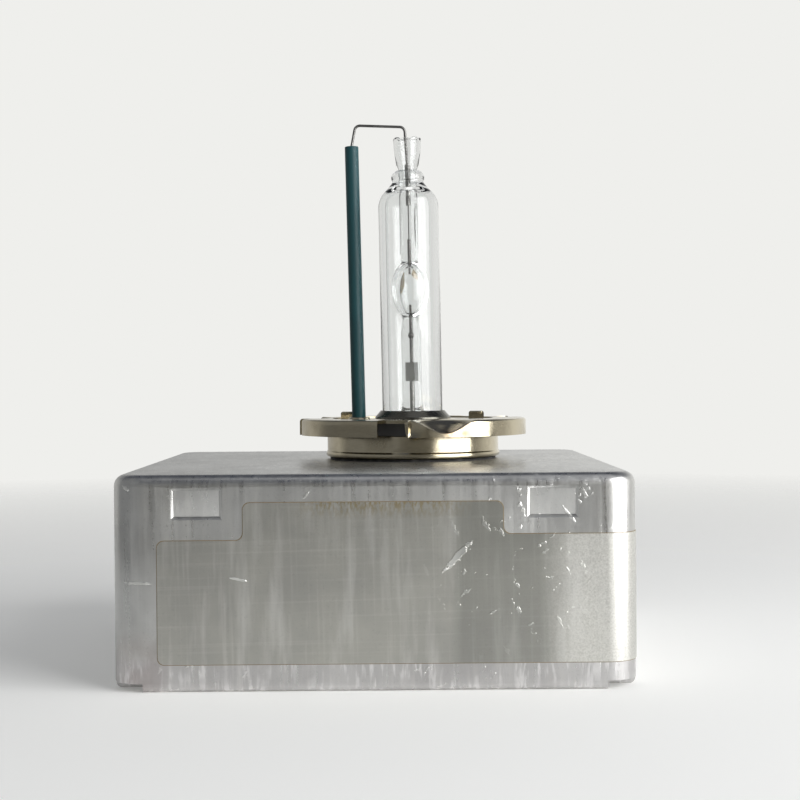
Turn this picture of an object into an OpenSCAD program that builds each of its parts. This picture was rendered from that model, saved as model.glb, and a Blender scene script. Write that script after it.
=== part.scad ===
// Gas-discharge headlight bulb with its ballast and igniter in the base.
// A quartz burner stands on a bayonet cap ring, over a square aluminium can
// that holds the electronics.
// Millimetres. The origin is on the lamp axis, in the flat top face of the cap
// ring, +Z runs along the lamp to its tip and -Y is the side with the label.

/* [Housing] */
// Outer width and depth of the square can
box_w = 66; // [66:0.5:76]
// Height of the can's corners, from the deck down
box_h = 26; // [26:0.5:34]
// Thickness of the can's sheet
can_t = 1; // [0.8:0.1:1.2]
// Radius of the upright corners
corner_r = 4; // [3:0.5:8]
// Radius along the edge of the deck
edge_r = 1.5; // [1:0.1:2]
// How far the folded hem reaches below the corners
hem_h = 1.1; // [1:0.1:2]
// Length of the hem along each side
hem_len = 58; // [40:1:58]
// How far the hem folds in under the base plate
hem_in = 2.5; // [1.5:0.5:2.5]
// Thickness of the base plate
plate_t = 1.5; // [1:0.1:2]
// Distance of the lamp axis from the can's centre, to the right
lamp_right = 5.4; // [0:0.1:8]
// Distance of the lamp axis from the can's centre, to the back
lamp_back = 7; // [0:0.1:9]

/* [Cap] */
// Height of the cap ring's top face above the deck
cap_h = 6; // [5.5:0.1:8]
// Outer radius of the cap ring
ring_r = 16.9; // [16:0.1:18]
// Height of the cap ring's rim
ring_h = 2.4; // [2.2:0.1:3]
// Thickness of the cap ring's sheet
ring_t = 0.5; // [0.4:0.05:0.6]
// Radius of the opening in the cap ring
ring_bore_r = 12; // [11.8:0.1:12.4]
// Outer radius of the cup under the ring
cup_r = 12.95; // [12.8:0.05:14]

/* [Burner] */
// Outer diameter of the glass jacket
bulb_d = 9; // [8:0.1:9.4]
// Wall of the glass jacket
bulb_wall = 1; // [0.8:0.1:1.2]
// Height of the jacket's shoulder above the cap ring
shoulder_z = 32.1; // [30:0.1:34]
// Height of the arc's centre above the cap ring
arc_z = 19.3; // [18:0.1:20]
// Gap between the electrode tips
arc_gap = 4.2; // [3.8:0.1:4.6]
// Lean of the burner towards the return wire, in degrees
burner_lean = 0.8; // [0:0.1:1]
// Outer diameter of the insulating tube
tube_d = 2.05; // [1.8:0.05:2.6]
// Diameter of the return wire
wire_d = 0.4; // [0.3:0.05:0.5]

/* [Ballast] */
// Width and depth of the circuit board
board_w = 60; // [56:0.5:60]
// Thickness of the circuit board
board_t = 1.6; // [1:0.2:1.6]
// Gap under the circuit board
board_gap = 3; // [2.6:0.1:3.2]
// Outer radius of the igniter coil's flanges
igniter_r = 5.8; // [5:0.1:6]
// Length of the igniter coil
igniter_len = 28; // [24:1:30]

/* [Hidden] */
$fn = 96;
eps = 0.01;

// Housing heights, with the can's centre at [can_x, can_y].
can_x = -lamp_right;
can_y = -lamp_back;
deck_z = -cap_h;
corner_z = deck_z - box_h;
floor_z = corner_z - hem_h;
plate_z = floor_z + can_t;
plate_top_z = plate_z + plate_t;
inner_w = box_w - 2 * can_t;
plate_w = inner_w - 0.2;
dish_w = 54;
gasket_t = 1;

// Label and the two pressed pockets on the front face, about the can's centre.
label_t = 0.12;
label_left = -27.1;
label_step_left = -16.4;
label_step_right = 16;
label_top = deck_z - 3.5;
label_shoulder_left = deck_z - 8.2;
label_shoulder_right = deck_z - 7.6;
label_bottom = deck_z - 23.6;
label_wrap = 14;
pocket_x = 22.2;
pocket_w = 6.5;
pocket_depth = 0.5;
pocket_top = deck_z - 0.8;
pocket_bottom = deck_z - 5.6;

// Cap: slot, pressed valley and key notch, as angles from the front.
ring_repeats = 3;
slot_from = -18.5;
slot_to = -2.7;
slot_depth = 2.4;
valley_at = 16;
valley_r = 6.8;
valley_depth = ring_h - ring_t + 0.1;
notch_at = -80;
notch_w = 2.4;
notch_depth = 1.2;
cup_t = 0.5;
seal_t = 0.25;
cup_floor_z = deck_z + seal_t;
cup_top_z = -ring_t;
bead_r = 0.6;
deck_hole_r = 10;
neck_r = 9.8;
neck_z = -12;
clamp_t = 0.4;
clamp_z = cup_top_z - 0.1;
clamp_top_z = clamp_z + clamp_t;
clamp_r = 11.6;
lug_x = 9.75;
lug_y = 4;
lug_w = 2.3;
lug_z = 0.9;
collar_top_z = 1.1;
collar_foot_r = 5.65;
collar_top_r = 4.9;

// Burner, about its own leaning axis.
bulb_r = bulb_d / 2;
bulb_foot_z = -0.5;
bulb_floor_z = 1;
stem_r = 1.4;
lower_stem_r = 1.5;
neck_bulge_r = 2.5;
neck_from = shoulder_z + 3.1;
neck_to = neck_from + 1.7;
stub_from = neck_to + 0.5;
stub_top = stub_from + 4.5;
stub_r = 2.1;
stub_wall = 0.55;
well_z = neck_from + 0.6;
vessel_r = 2.8;
vessel_half = 4.35;
cavity_r = 1.4;
cavity_half = 3.3;
electrode_r = 0.17;
foil_w = 1.3;
foil_t = 0.1;
lower_foil_from = 5.7;
lower_foil_to = 8.45;
upper_foil_from = arc_z + 7.4;
upper_foil_to = arc_z + 12.4;
lead_r = 0.25;
stem_foot_z = -4;
lead_foot_z = -10;
joint_from = well_z + 0.2;
joint_to = joint_from + 1.9;
joint_r = 0.42;

// Return wire and its tube: both lean a little more than the burner.
wire_r = wire_d / 2;
wire_bend = 0.8;
wire_corner_right = [-0.94, 43.5];
wire_corner_left = [-8.28, 43.76];
tube_foot = [-8, -2.6];
tube_top = [-8.87, 40.56];
tube_bore_r = 0.3;
terminal_reach = 0.6;

// Connector in the back wall, about the can's centre.
conn_u = -14;
conn_z = -18;
conn_w = 22;
conn_h = 13;
conn_len = 14;
conn_wall = 2;
conn_depth = 11;
conn_flange = 1.5;
conn_back = can_y + box_w / 2;
pin_pitch_x = 8;
pin_pitch_z = 4;
pin_w = 1.5;
pin_t = 0.8;
pin_out = 5;
pin_tail = 2.5;
conn_pins = [for (i = [-0.5, 0.5], k = [-0.5, 0.5]) [i * pin_pitch_x, k * pin_pitch_z]];

// Board stack
board_z = plate_top_z + board_gap;
board_top = board_z + board_t;
post_r = 1.5;
post_at = board_w / 2 - 3;
carrier_w = 5;
sheet_t = 0.3;
igniter_z = board_top + 1 + igniter_r;
igniter_u = lamp_right;
igniter_v = lamp_back;
transistor = [6.6, 6.1, 2.3];
transistor_u = -4;
transistor_v = -8;
transistor_pitch = 9;

// Insulator contacts, igniter coil, converter, choke and chips
terminal_r = 0.7;
hv_pin_r = 0.8;
igniter_half = igniter_len / 2;
igniter_core_r = 2.5;
igniter_tube_r = 3.3;
igniter_chambers = 5;
igniter_wind_r = 4.8;
igniter_flange = 1;
igniter_step = (igniter_len - igniter_flange) / igniter_chambers;
converter = [20, 18, 10];
converter_leg_r = 4;
converter_space_r = 7.4;
converter_yoke = 2;
choke_r = 5.6;
choke_h = 9;
choke_flange = 1.4;
choke_leg_r = 2.8;
chip = [1.6, 0.8, 0.8];
chip_pitch = 2.6;

// ---------- helpers ----------

// A square of side w with rounded corners, centred, from four circles and two bars.
module rounded_square(w, r) {
    for (sx = [-1, 1], sy = [-1, 1])
        translate([sx * (w / 2 - r), sy * (w / 2 - r)]) circle(r);
    square([w, w - 2 * r], center = true);
    square([w - 2 * r, w], center = true);
}

// Half of the section through a cushion block's wall: square below, round at the top.
module cushion_profile(r, h, e) {
    square([r - e, h]);
    square([r, h - e]);
    translate([r - e, h - e]) intersection() {
        circle(e);
        square(e);
    }
}

// A square block with round upright corners and a round edge along its top.
module cushion_block(w, h, r, e) {
    side = w - 2 * r;
    translate([-side / 2, -side / 2, 0]) cube([side, side, h]);
    for (turn = [0 : 90 : 270]) rotate(turn) translate([side / 2, side / 2, 0]) {
        rotate_extrude(angle = 90) cushion_profile(r, h, e);
        rotate([90, 0, 0]) linear_extrude(side) cushion_profile(r, h, e);
    }
}

module at_can() {
    translate([can_x, can_y, 0]) children();
}

// A place on the board's top face, about the can's centre.
module on_board(u, v) {
    translate([can_x + u, can_y + v, board_top]) children();
}

module burner() {
    rotate([0, -burner_lean, 0]) children();
}

module tube_space(r, z0, z1) {
    translate([0, 0, z0]) cylinder(r = r, h = z1 - z0);
}

module block(size) {
    translate([-size[0] / 2, -size[1] / 2, 0]) cube(size);
}

module washer(r_out, r_in, z0, z1) {
    difference() {
        tube_space(r_out, z0, z1);
        tube_space(r_in, z0 - eps, z1 + eps);
    }
}

// A round rod between two points of the plane y = 0, each given as [x, z].
module rod(a, b, r) {
    run = b - a;
    translate([a[0], 0, a[1]]) rotate([0, atan2(run[0], run[1]), 0])
        cylinder(r = r, h = norm(run));
}

// The outline of half an ellipsoid's section, bottom to top.
function half_ellipse(r, half, z, steps = 20) =
    [for (i = [0 : steps]) let (a = -90 + 180 * i / steps)
        [r * cos(a), z + half * sin(a)]];

function unit(v) = v / norm(v);

// The angle from direction a to direction b in their plane, positive to the left.
function turn_angle(a, b) = atan2(a[0] * b[1] - a[1] * b[0], a * b);

module ellipsoid(r, half, z) {
    rotate_extrude() polygon(half_ellipse(r, half, z));
}

// ---------- burner ----------

// Quartz jacket: foot, straight wall, cone shoulder and fused neck.
module outer_bulb() {
    inner_r = bulb_r - bulb_wall;
    color("lightcyan", 0.4) burner() rotate_extrude() polygon([
        [lower_stem_r, bulb_foot_z], [bulb_r - 0.4, bulb_foot_z],
        [bulb_r, bulb_foot_z + 0.4], [bulb_r, shoulder_z],
        [neck_bulge_r - 0.2, neck_from - 0.1], [neck_bulge_r, neck_from + 0.3],
        [neck_bulge_r, neck_to - 0.4], [neck_bulge_r - 0.4, neck_to],
        [stem_r, neck_to], [stem_r, neck_from - 0.6],
        [inner_r, shoulder_z - 0.4],
        [inner_r, bulb_floor_z + 2], [lower_stem_r, bulb_floor_z]
    ]);
}

// The space inside the vessel where the arc burns.
module cavity() {
    ellipsoid(cavity_r, cavity_half, arc_z - 0.2);
}

// Everything that is sealed into the vessel's stems.
module sealed_conductors() {
    electrode_up();
    electrode_down();
    foil_up();
    foil_down();
    lead_up();
    lead_down();
}

// Quartz vessel: lower stem, bulge with the cavity, upper stem and open stub.
module discharge_vessel() {
    bulge = half_ellipse(vessel_r, vessel_half, arc_z);
    shell = [for (p = bulge) if (p[0] > stem_r) p];
    color("aliceblue", 0.5) burner() difference() {
        rotate_extrude() polygon(concat(
            [[0, stem_foot_z], [lower_stem_r, stem_foot_z],
                [lower_stem_r, shell[0][1] - 2.2], [stem_r, shell[0][1] - 1.2]],
            shell,
            [[stem_r, stub_from], [stub_r, stub_top], [0, stub_top]]
        ));
        cavity();
        sealed_conductors();
        rotate_extrude() polygon([
            [0, well_z], [stem_r - stub_wall, well_z],
            [stem_r - stub_wall, stub_from], [stub_r - stub_wall, stub_top + eps],
            [0, stub_top + eps]
        ]);
    }
}

module electrode_up() {
    tube_space(electrode_r, arc_z + arc_gap / 2, upper_foil_from);
}

module electrode_down() {
    tube_space(electrode_r, lower_foil_to, arc_z - arc_gap / 2);
}

module foil_up() {
    translate([-foil_t / 2, -foil_w / 2, upper_foil_from])
        cube([foil_t, foil_w, upper_foil_to - upper_foil_from]);
}

module foil_down() {
    translate([-foil_w / 2, -foil_t / 2, lower_foil_from])
        cube([foil_w, foil_t, lower_foil_to - lower_foil_from]);
}

module lead_up() {
    tube_space(lead_r, upper_foil_to, joint_from + 0.8);
}

module lead_down() {
    tube_space(lead_r, lead_foot_z, lower_foil_from);
}

module upper_electrode() {
    color("dimgray") burner() electrode_up();
}

module lower_electrode() {
    color("dimgray") burner() electrode_down();
}

module upper_foil() {
    color("silver") burner() foil_up();
}

module lower_foil() {
    color("silver") burner() foil_down();
}

module upper_lead_wire() {
    color("gray") burner() lead_up();
}

module lower_lead_wire() {
    color("gray") burner() lead_down();
}

// Metal salts that have settled on the wall of the cavity.
module halide_deposit() {
    color("tan") burner() intersection() {
        cavity();
        translate([-cavity_r, 0, arc_z - 0.8]) sphere(0.65);
    }
}

// Sleeve that joins the upper lead to the return wire, in the open stub.
module wire_joint_sleeve() {
    color("gray") burner() difference() {
        tube_space(joint_r, joint_from, joint_to);
        lead_up();
        tube_space(wire_r + 0.05, joint_from + 0.8, joint_to + eps);
    }
}

// The points of a round bend at b, on the way from a to c.
function bend_points(a, b, c, bend, steps = 6) =
    let (
        come = unit(b - a),
        turn = turn_angle(come, unit(c - b)),
        inward = sign(turn) * [-come[1], come[0]],
        along = [-inward[1], inward[0]],
        middle = b - come * bend * tan(abs(turn) / 2) + inward * bend
    )
    [for (i = [0 : steps]) let (t = turn * i / steps)
        middle - bend * (inward * cos(t) + along * sin(t))];

// A wire along points [x, z] of the plane y = 0, with round bends.
module bent_wire(route, r, bend, sides = 12) {
    last = len(route) - 1;
    line = concat([route[0]],
        [for (i = [1 : last - 1])
            each bend_points(route[i - 1], route[i], route[i + 1], bend)],
        [route[last]]);
    n = len(line);
    points = [for (i = [0 : n - 1])
        let (way = unit(line[min(i + 1, n - 1)] - line[max(i - 1, 0)]))
        for (k = [0 : sides - 1]) let (a = 360 * k / sides) [
            line[i][0] - r * cos(a) * way[1], r * sin(a),
            line[i][1] + r * cos(a) * way[0]
        ]];
    skin = [for (i = [0 : n - 2], k = [0 : sides - 1])
        let (a = i * sides + k, b = i * sides + (k + 1) % sides)
        each [[a, a + sides, b], [b, a + sides, b + sides]]];
    ends = [[for (k = [0 : sides - 1]) k], [for (k = [sides - 1 : -1 : 0]) (n - 1) * sides + k]];
    polyhedron(points, concat(skin, ends));
}

// Nickel wire from the joint, over the top and down through the tube.
module return_wire() {
    start = (joint_from + 0.8) * [-sin(burner_lean), cos(burner_lean)];
    foot = tube_foot + unit(tube_foot - tube_top) * terminal_reach;
    color("slategray") bent_wire([
        start, wire_corner_right, wire_corner_left, tube_top, foot
    ], wire_r, wire_bend);
}

module insulating_tube() {
    run = (tube_top - tube_foot) / norm(tube_top - tube_foot);
    color("darkslategray") difference() {
        rod(tube_foot, tube_top, tube_d / 2);
        rod(tube_foot - run, tube_top + run, tube_bore_r);
    }
}

// ---------- cap ----------

// A pie wedge that covers the angles a to b from the front, in degrees.
module wedge(a, b, r, z0, z1) {
    translate([0, 0, z0]) linear_extrude(z1 - z0) polygon([
        [0, 0], [r * sin(a), -r * cos(a)],
        [r * sin((a + b) / 2), -r * cos((a + b) / 2)], [r * sin(b), -r * cos(b)]
    ]);
}

module each_repeat() {
    for (turn = [0 : ring_repeats - 1]) rotate(turn * 360 / ring_repeats) children();
}

// The round trough that the valley's press leaves: a bar along the radius.
module valley_bar(r) {
    rotate(valley_at) translate([0, -ring_bore_r - 1.2, valley_r - valley_depth])
        rotate([90, 0, 0]) cylinder(r = r, h = ring_r);
}

module ring_envelope() {
    washer(ring_r, ring_bore_r + 1.2, -ring_h, 0);
}

// Pressed ring with a turned-down rim, three slots, three valleys and a key notch.
module cap_ring() {
    color("tan") difference() {
        union() {
            difference() {
                union() {
                    washer(ring_r, ring_bore_r, -ring_t, 0);
                    washer(ring_r, ring_r - ring_t, -ring_h, 0);
                }
                each_repeat() valley_bar(valley_r);
            }
            each_repeat() intersection() {
                ring_envelope();
                difference() {
                    valley_bar(valley_r + ring_t - 0.1);
                    valley_bar(valley_r);
                }
            }
        }
        each_repeat() difference() {
            wedge(slot_from, slot_to, ring_r * 1.2, -ring_h - 1, 1);
            tube_space(ring_r - slot_depth, -ring_h - 2, 2);
        }
        rotate(notch_at) translate([-notch_w / 2, -ring_r - 1, -ring_h - 1])
            cube([notch_w, 1 + notch_depth, ring_h + 2]);
    }
}

// Deep-drawn cup between the ring and the deck, with a rounded bottom bead.
module base_cup() {
    inner_r = cup_r - cup_t;
    color("wheat") difference() {
        union() {
            tube_space(cup_r, cup_floor_z + bead_r, cup_top_z);
            tube_space(cup_r - bead_r, cup_floor_z, cup_top_z);
            translate([0, 0, cup_floor_z + bead_r])
                rotate_extrude() translate([cup_r - bead_r, 0]) circle(bead_r);
        }
        tube_space(inner_r, cup_floor_z + cup_t, 1);
        tube_space(deck_hole_r, cup_floor_z - 1, 1);
    }
}

module cup_seal() {
    color("black") washer(cup_r - bead_r, deck_hole_r, deck_z, cup_floor_z);
}

// Turned collar that grips the foot of the jacket.
module burner_collar() {
    color("gray") difference() {
        rotate_extrude() polygon([
            [bulb_r - 1, clamp_z], [collar_foot_r, clamp_z], [collar_foot_r, 0.1],
            [collar_top_r + 0.2, collar_top_z - 0.2], [collar_top_r, collar_top_z],
            [bulb_r - 1, collar_top_z]
        ]);
        burner() tube_space(bulb_r, clamp_z - 1, collar_top_z + 1);
    }
}

// Sheet plate with two upright lugs, welded round the collar.
module burner_clamp_plate() {
    color("silver") {
        difference() {
            washer(clamp_r, collar_foot_r, clamp_z, clamp_top_z);
            translate([tube_foot[0], 0, 0]) tube_space(tube_d / 2 + 0.1, clamp_z - 1, 1);
        }
        for (side = [-1, 1])
            translate([side * lug_x - lug_w / 2, lug_y, clamp_z])
                cube([lug_w, clamp_t, lug_z - clamp_z]);
    }
}

// Moulded insulator that fills the cup and reaches down through the deck.
module burner_socket() {
    body_r = cup_r - cup_t;
    color("dimgray") difference() {
        union() {
            tube_space(body_r, cup_floor_z + cup_t, clamp_z);
            tube_space(neck_r, neck_z, cup_floor_z + cup_t);
        }
        burner() tube_space(lower_stem_r, stem_foot_z, 1);
        burner() tube_space(bulb_r, bulb_foot_z, 1);
        burner() tube_space(lead_r, lead_foot_z - 1, 1);
        translate([tube_foot[0], 0, 0]) {
            tube_space(tube_d / 2 + 0.1, tube_foot[1], 1);
            tube_space(terminal_r, neck_z - 1, tube_foot[1] + eps);
        }
        hv_pin();
    }
}

module hv_pin() {
    lean_x = lead_foot_z * sin(-burner_lean);
    translate([lean_x, 0, 0]) tube_space(hv_pin_r, igniter_z + igniter_r, lead_foot_z + 2);
}

// Socket pin between the igniter coil and the burner's lower lead.
module hv_contact() {
    color("goldenrod") difference() {
        hv_pin();
        burner() tube_space(lead_r, lead_foot_z, 1);
    }
}

// Sleeve that takes the foot of the return wire down towards the board.
module return_terminal() {
    color("goldenrod") difference() {
        translate([tube_foot[0], 0, 0]) tube_space(terminal_r, neck_z - 1.4, tube_foot[1]);
        translate([tube_foot[0], 0, 0])
            tube_space(wire_r + 0.05, tube_foot[1] - terminal_reach, 1);
    }
}

// ---------- housing ----------

// Outline of the label on the front face, about the can's centre.
module label_outline() {
    polygon([
        [label_left, label_bottom], [label_left, label_shoulder_left],
        [label_step_left, label_shoulder_left], [label_step_left, label_top],
        [label_step_right, label_top], [label_step_right, label_shoulder_right],
        [box_w, label_shoulder_right], [box_w, label_bottom]
    ]);
}

// Drawn aluminium can: open below, with hems folded in under the base plate.
module housing_can() {
    color("darkgray") at_can() {
        difference() {
            translate([0, 0, corner_z]) cushion_block(box_w, box_h, corner_r, edge_r);
            translate([0, 0, corner_z - 1]) linear_extrude(box_h - can_t + 1)
                rounded_square(inner_w, corner_r - can_t);
            translate([lamp_right, lamp_back, 0]) tube_space(deck_hole_r, deck_z - 2, deck_z + 1);
            for (side = [-1, 1])
                translate([side * pocket_x - pocket_w / 2, -box_w / 2 - 1, pocket_bottom])
                    cube([pocket_w, 1 + pocket_depth, pocket_top - pocket_bottom]);
            translate([conn_u - conn_w / 2, box_w / 2 - 2 * can_t, conn_z - conn_h / 2])
                cube([conn_w, 3 * can_t, conn_h]);
        }
        for (turn = [0 : 90 : 270]) rotate(turn) {
            translate([-hem_len / 2, -box_w / 2, floor_z]) cube([hem_len, can_t, hem_h + eps]);
            translate([-hem_len / 2, -box_w / 2, floor_z]) cube([hem_len, hem_in + can_t, can_t]);
        }
    }
}

// Base plate that the hems hold, with its middle pressed down level with them.
module base_plate() {
    color("gray") at_can() difference() {
        union() {
            translate([0, 0, plate_z]) linear_extrude(plate_t)
                rounded_square(plate_w, corner_r - can_t - 0.1);
            translate([0, 0, floor_z]) linear_extrude(plate_z - floor_z + eps)
                rounded_square(dish_w, corner_r);
        }
        translate([0, 0, floor_z + plate_t]) linear_extrude(2 * plate_t)
            rounded_square(dish_w - 2 * plate_t, corner_r - plate_t);
    }
}

// A square frame from plate_top_z up, for the gasket and the carrier.
module square_frame(w_out, w_in, h) {
    translate([0, 0, plate_top_z]) difference() {
        linear_extrude(h) rounded_square(w_out, corner_r - can_t - 0.1);
        translate([0, 0, -1]) linear_extrude(h + 2) square(w_in, center = true);
    }
}

module base_gasket() {
    color("firebrick") at_can() square_frame(plate_w, board_w + 0.4, gasket_t);
}

// Blank foil label on the front, carried round the right-hand corner.
module rating_label() {
    color("lightgray") at_can() intersection() {
        translate([0, 0, label_bottom]) linear_extrude(label_top - label_bottom) difference() {
            rounded_square(box_w + 2 * label_t, corner_r + label_t);
            rounded_square(box_w, corner_r);
        }
        translate([0, label_wrap - box_w / 2, 0]) rotate([90, 0, 0])
            linear_extrude(box_w) label_outline();
    }
}

// Turns local z into the direction out through the back wall, at the connector.
module at_connector() {
    translate([can_x + conn_u, conn_back, conn_z]) children();
}

// Flanged plug socket in the back wall, open to the back.
module connector_body() {
    color("black") at_connector() difference() {
        union() {
            translate([-conn_w / 2, -conn_len, -conn_h / 2]) cube([conn_w, conn_len, conn_h]);
            translate([-conn_w / 2 - 2, -can_t - 0.8 - conn_flange, -conn_h / 2 - 1])
                cube([conn_w + 4, conn_flange, conn_h + 2]);
        }
        translate([conn_wall - conn_w / 2, -conn_depth, conn_wall - conn_h / 2])
            cube([conn_w - 2 * conn_wall, conn_depth + 1, conn_h - 2 * conn_wall]);
        for (p = conn_pins) pin_blade(p);
    }
}

// One straight blade at p = [x, z], from behind the socket to its free tip.
module pin_blade(p) {
    translate([p[0] - pin_w / 2, -conn_len - pin_tail, p[1] - pin_t / 2])
        cube([pin_w, conn_len + pin_tail - conn_depth + pin_out, pin_t]);
}

// Four blades, each bent down to the board behind the socket. The lower row's
// legs stand nearer to the socket than the upper row's.
module connector_pins() {
    color("gold") at_connector() for (p = conn_pins) {
        leg_y = p[1] > 0 ? -conn_len - pin_tail : -conn_len - pin_t - 0.4;
        foot = board_top - conn_z;
        intersection() {
            pin_blade(p);
            translate([-conn_w / 2, leg_y, -conn_h / 2]) cube([conn_w, conn_len, conn_h]);
        }
        translate([p[0] - pin_w / 2, leg_y, foot]) cube([pin_w, pin_t, p[1] - foot]);
    }
}

module connector_seal() {
    color("darkred") at_connector() translate([0, -can_t - 0.8, 0]) difference() {
        translate([-conn_w / 2 - 1.8, 0, -conn_h / 2 - 0.9])
            cube([conn_w + 3.6, 0.8, conn_h + 1.8]);
        translate([-conn_w / 2, -1, -conn_h / 2]) cube([conn_w, 3, conn_h]);
    }
}

// Insulating film under the deck.
module insulating_sheet() {
    color("khaki") difference() {
        at_can() translate([0, 0, deck_z - can_t - sheet_t])
            linear_extrude(sheet_t) rounded_square(inner_w - 1, corner_r - can_t - 0.5);
        tube_space(deck_hole_r, deck_z - can_t - 1, 0);
    }
}

// Moulded frame that carries the board, with a post at each corner.
module board_carrier() {
    color("ivory") at_can() {
        square_frame(board_w, board_w - 2 * carrier_w, board_gap);
        for (sx = [-1, 1], sy = [-1, 1])
            translate([sx * post_at, sy * post_at, 0]) tube_space(post_r, board_z - eps, board_top + 0.8);
    }
}

// Soft pad that takes the transistors' heat down to the base plate.
module thermal_pad() {
    bottom = floor_z + plate_t;
    top = board_z - transistor[2];
    color("lightpink") translate([can_x + transistor_u, can_y + transistor_v, bottom])
        block([2 * transistor_pitch, 2 * transistor_pitch, top - bottom]);
}

// ---------- electronics ----------

module ballast_board() {
    color("darkgreen") at_can() difference() {
        translate([0, 0, board_z]) linear_extrude(board_t) square(board_w, center = true);
        for (sx = [-1, 1], sy = [-1, 1])
            translate([sx * post_at, sy * post_at, 0])
                tube_space(post_r, board_z - 1, board_top + 1);
    }
}

// Open tray round the igniter coil.
module igniter_tray() {
    inner = [igniter_len + 0.4, 2 * igniter_r + 0.4];
    color("saddlebrown") on_board(igniter_u, igniter_v) difference() {
        block([inner[0] + 2, inner[1] + 2, igniter_r + 2]);
        translate([0, 0, 1]) block([inner[0], inner[1], 2 * igniter_r]);
    }
}

// Lays a module that is drawn along z down along x, at the igniter coil.
module igniter_axis() {
    translate([can_x + igniter_u, can_y + igniter_v, igniter_z])
        rotate([0, 90, 0]) children();
}

module igniter_core() {
    color("darkslategray") igniter_axis()
        cylinder(r = igniter_core_r, h = igniter_len, center = true);
}

// The x positions of the bobbin's flanges, from one end to the other.
function igniter_flange_at(i) = -igniter_half + i * igniter_step;

module igniter_bobbin() {
    color("cornsilk") igniter_axis() {
        washer(igniter_tube_r, igniter_core_r, -igniter_half, igniter_half);
        for (i = [0 : igniter_chambers])
            washer(igniter_r, igniter_core_r, igniter_flange_at(i),
                igniter_flange_at(i) + igniter_flange);
    }
}

// Fine high-voltage winding, one pack in each chamber.
module igniter_secondary() {
    color("peru") igniter_axis() for (i = [0 : igniter_chambers - 1])
        washer(igniter_wind_r, igniter_tube_r, igniter_flange_at(i) + igniter_flange,
            igniter_flange_at(i + 1));
}

// A few thick turns over the middle chamber.
module igniter_primary() {
    turns = 3;
    turn_t = 1;
    middle = igniter_flange_at((igniter_chambers - 1) / 2) + igniter_flange;
    color("orangered") igniter_axis() for (i = [0 : turns - 1])
        translate([0, 0, middle + 0.6 + i * 1.3])
            washer(igniter_wind_r + 0.8, igniter_wind_r, 0, turn_t);
}

// Ceramic tube with a metal cap at each end.
module spark_gap() {
    color("whitesmoke") on_board(-17, 4) translate([0, 0, 3]) rotate([0, 90, 0]) {
        cylinder(r = 2.6, h = 6, center = true);
        for (side = [-1, 1]) translate([0, 0, side * 3.75])
            cylinder(r = 3, h = 1.5, center = true);
    }
}

module ignition_capacitor() {
    color("tomato") on_board(-18, 12) block([12, 5.6, 9]);
}

// Converter transformer: a core of two E halves round a wound bobbin.

module at_converter() {
    on_board(-17, -16) translate([0, 0, 0.8]) children();
}

module converter_core() {
    color("darkslategray") at_converter() {
        difference() {
            block(converter);
            tube_space(converter_space_r, converter_yoke, converter[2] - converter_yoke);
            for (side = [-1, 1]) translate([0, side * converter[1] / 2, converter_yoke])
                block([2 * converter_space_r, converter[1], converter[2] - 2 * converter_yoke]);
        }
        tube_space(converter_leg_r, converter_yoke - eps, converter[2] - converter_yoke + eps);
    }
}

module converter_bobbin() {
    low = converter_yoke + 0.1;
    high = converter[2] - converter_yoke - 0.1;
    color("black") at_converter() {
        washer(converter_leg_r + 0.9, converter_leg_r + 0.1, low, high);
        washer(converter_space_r - 0.2, converter_leg_r + 0.1, low, low + 0.7);
        washer(converter_space_r - 0.2, converter_leg_r + 0.1, high - 0.7, high);
    }
}

module converter_winding() {
    color("darkorange") at_converter()
        washer(converter_space_r - 0.6, converter_leg_r + 0.9, converter_yoke + 0.8,
            converter[2] - converter_yoke - 0.8);
}

module choke_core() {
    color("darkslategray") on_board(3, -20) {
        tube_space(choke_r, 0, choke_flange);
        tube_space(choke_leg_r, choke_flange - eps, choke_h - choke_flange + eps);
        tube_space(choke_r, choke_h - choke_flange, choke_h);
    }
}

module choke_winding() {
    color("darkorange") on_board(3, -20)
        washer(choke_r - 0.5, choke_leg_r, choke_flange, choke_h - choke_flange);
}

// Upright electrolytic capacitor with a rolled groove near its foot.
module input_capacitor() {
    can_r = 5;
    can_h = 13;
    groove_z = 2;
    color("navy") on_board(16, -22) difference() {
        tube_space(can_r, 0, can_h);
        translate([0, 0, groove_z]) rotate_extrude() translate([can_r + 0.3, 0]) circle(0.7);
    }
}

module output_capacitor() {
    color("goldenrod") on_board(20, -9) block([17, 7, 12]);
}

// Four bridge transistors under the board, on the thermal pad.
module power_transistors() {
    color("black") translate([can_x + transistor_u, can_y + transistor_v, board_z - transistor[2]])
        for (sx = [-0.5, 0.5], sy = [-0.5, 0.5])
            translate([sx * transistor_pitch, sy * transistor_pitch, 0]) block(transistor);
}

module controller_chip() {
    color("black") on_board(23.5, 21) block([9, 9, 1.3]);
}

module driver_chip() {
    color("black") on_board(10, 22) block([5, 4, 1.5]);
}

module chip_capacitors() {
    color("burlywood") for (i = [0 : 7]) on_board(6 + i * chip_pitch, 27.6) block(chip);
}

module chip_resistors() {
    color("dimgray") for (i = [0 : 7]) on_board(28, -1.5 + i * chip_pitch / 1.6)
        block([chip[0], chip[1], 0.5]);
}

module rectifier_diodes() {
    color("black") for (i = [0 : 2]) on_board(26.2, -26.5 + 5 * i) block([4.3, 3.6, 2.3]);
}

// Strip that presses on the deck and grounds the board to the can.
module ground_spring() {
    strip = [3, 0.4];
    reach = deck_z - can_t - sheet_t - board_top;
    color("gold") on_board(-27, -5) {
        block([strip[0], 5, strip[1]]);
        translate([0, 2.3, 0]) block([strip[0], strip[1], reach]);
        translate([0, 4.3, reach - strip[1]]) block([strip[0], 4.4, strip[1]]);
    }
}

// ---------- drawing ----------

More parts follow.
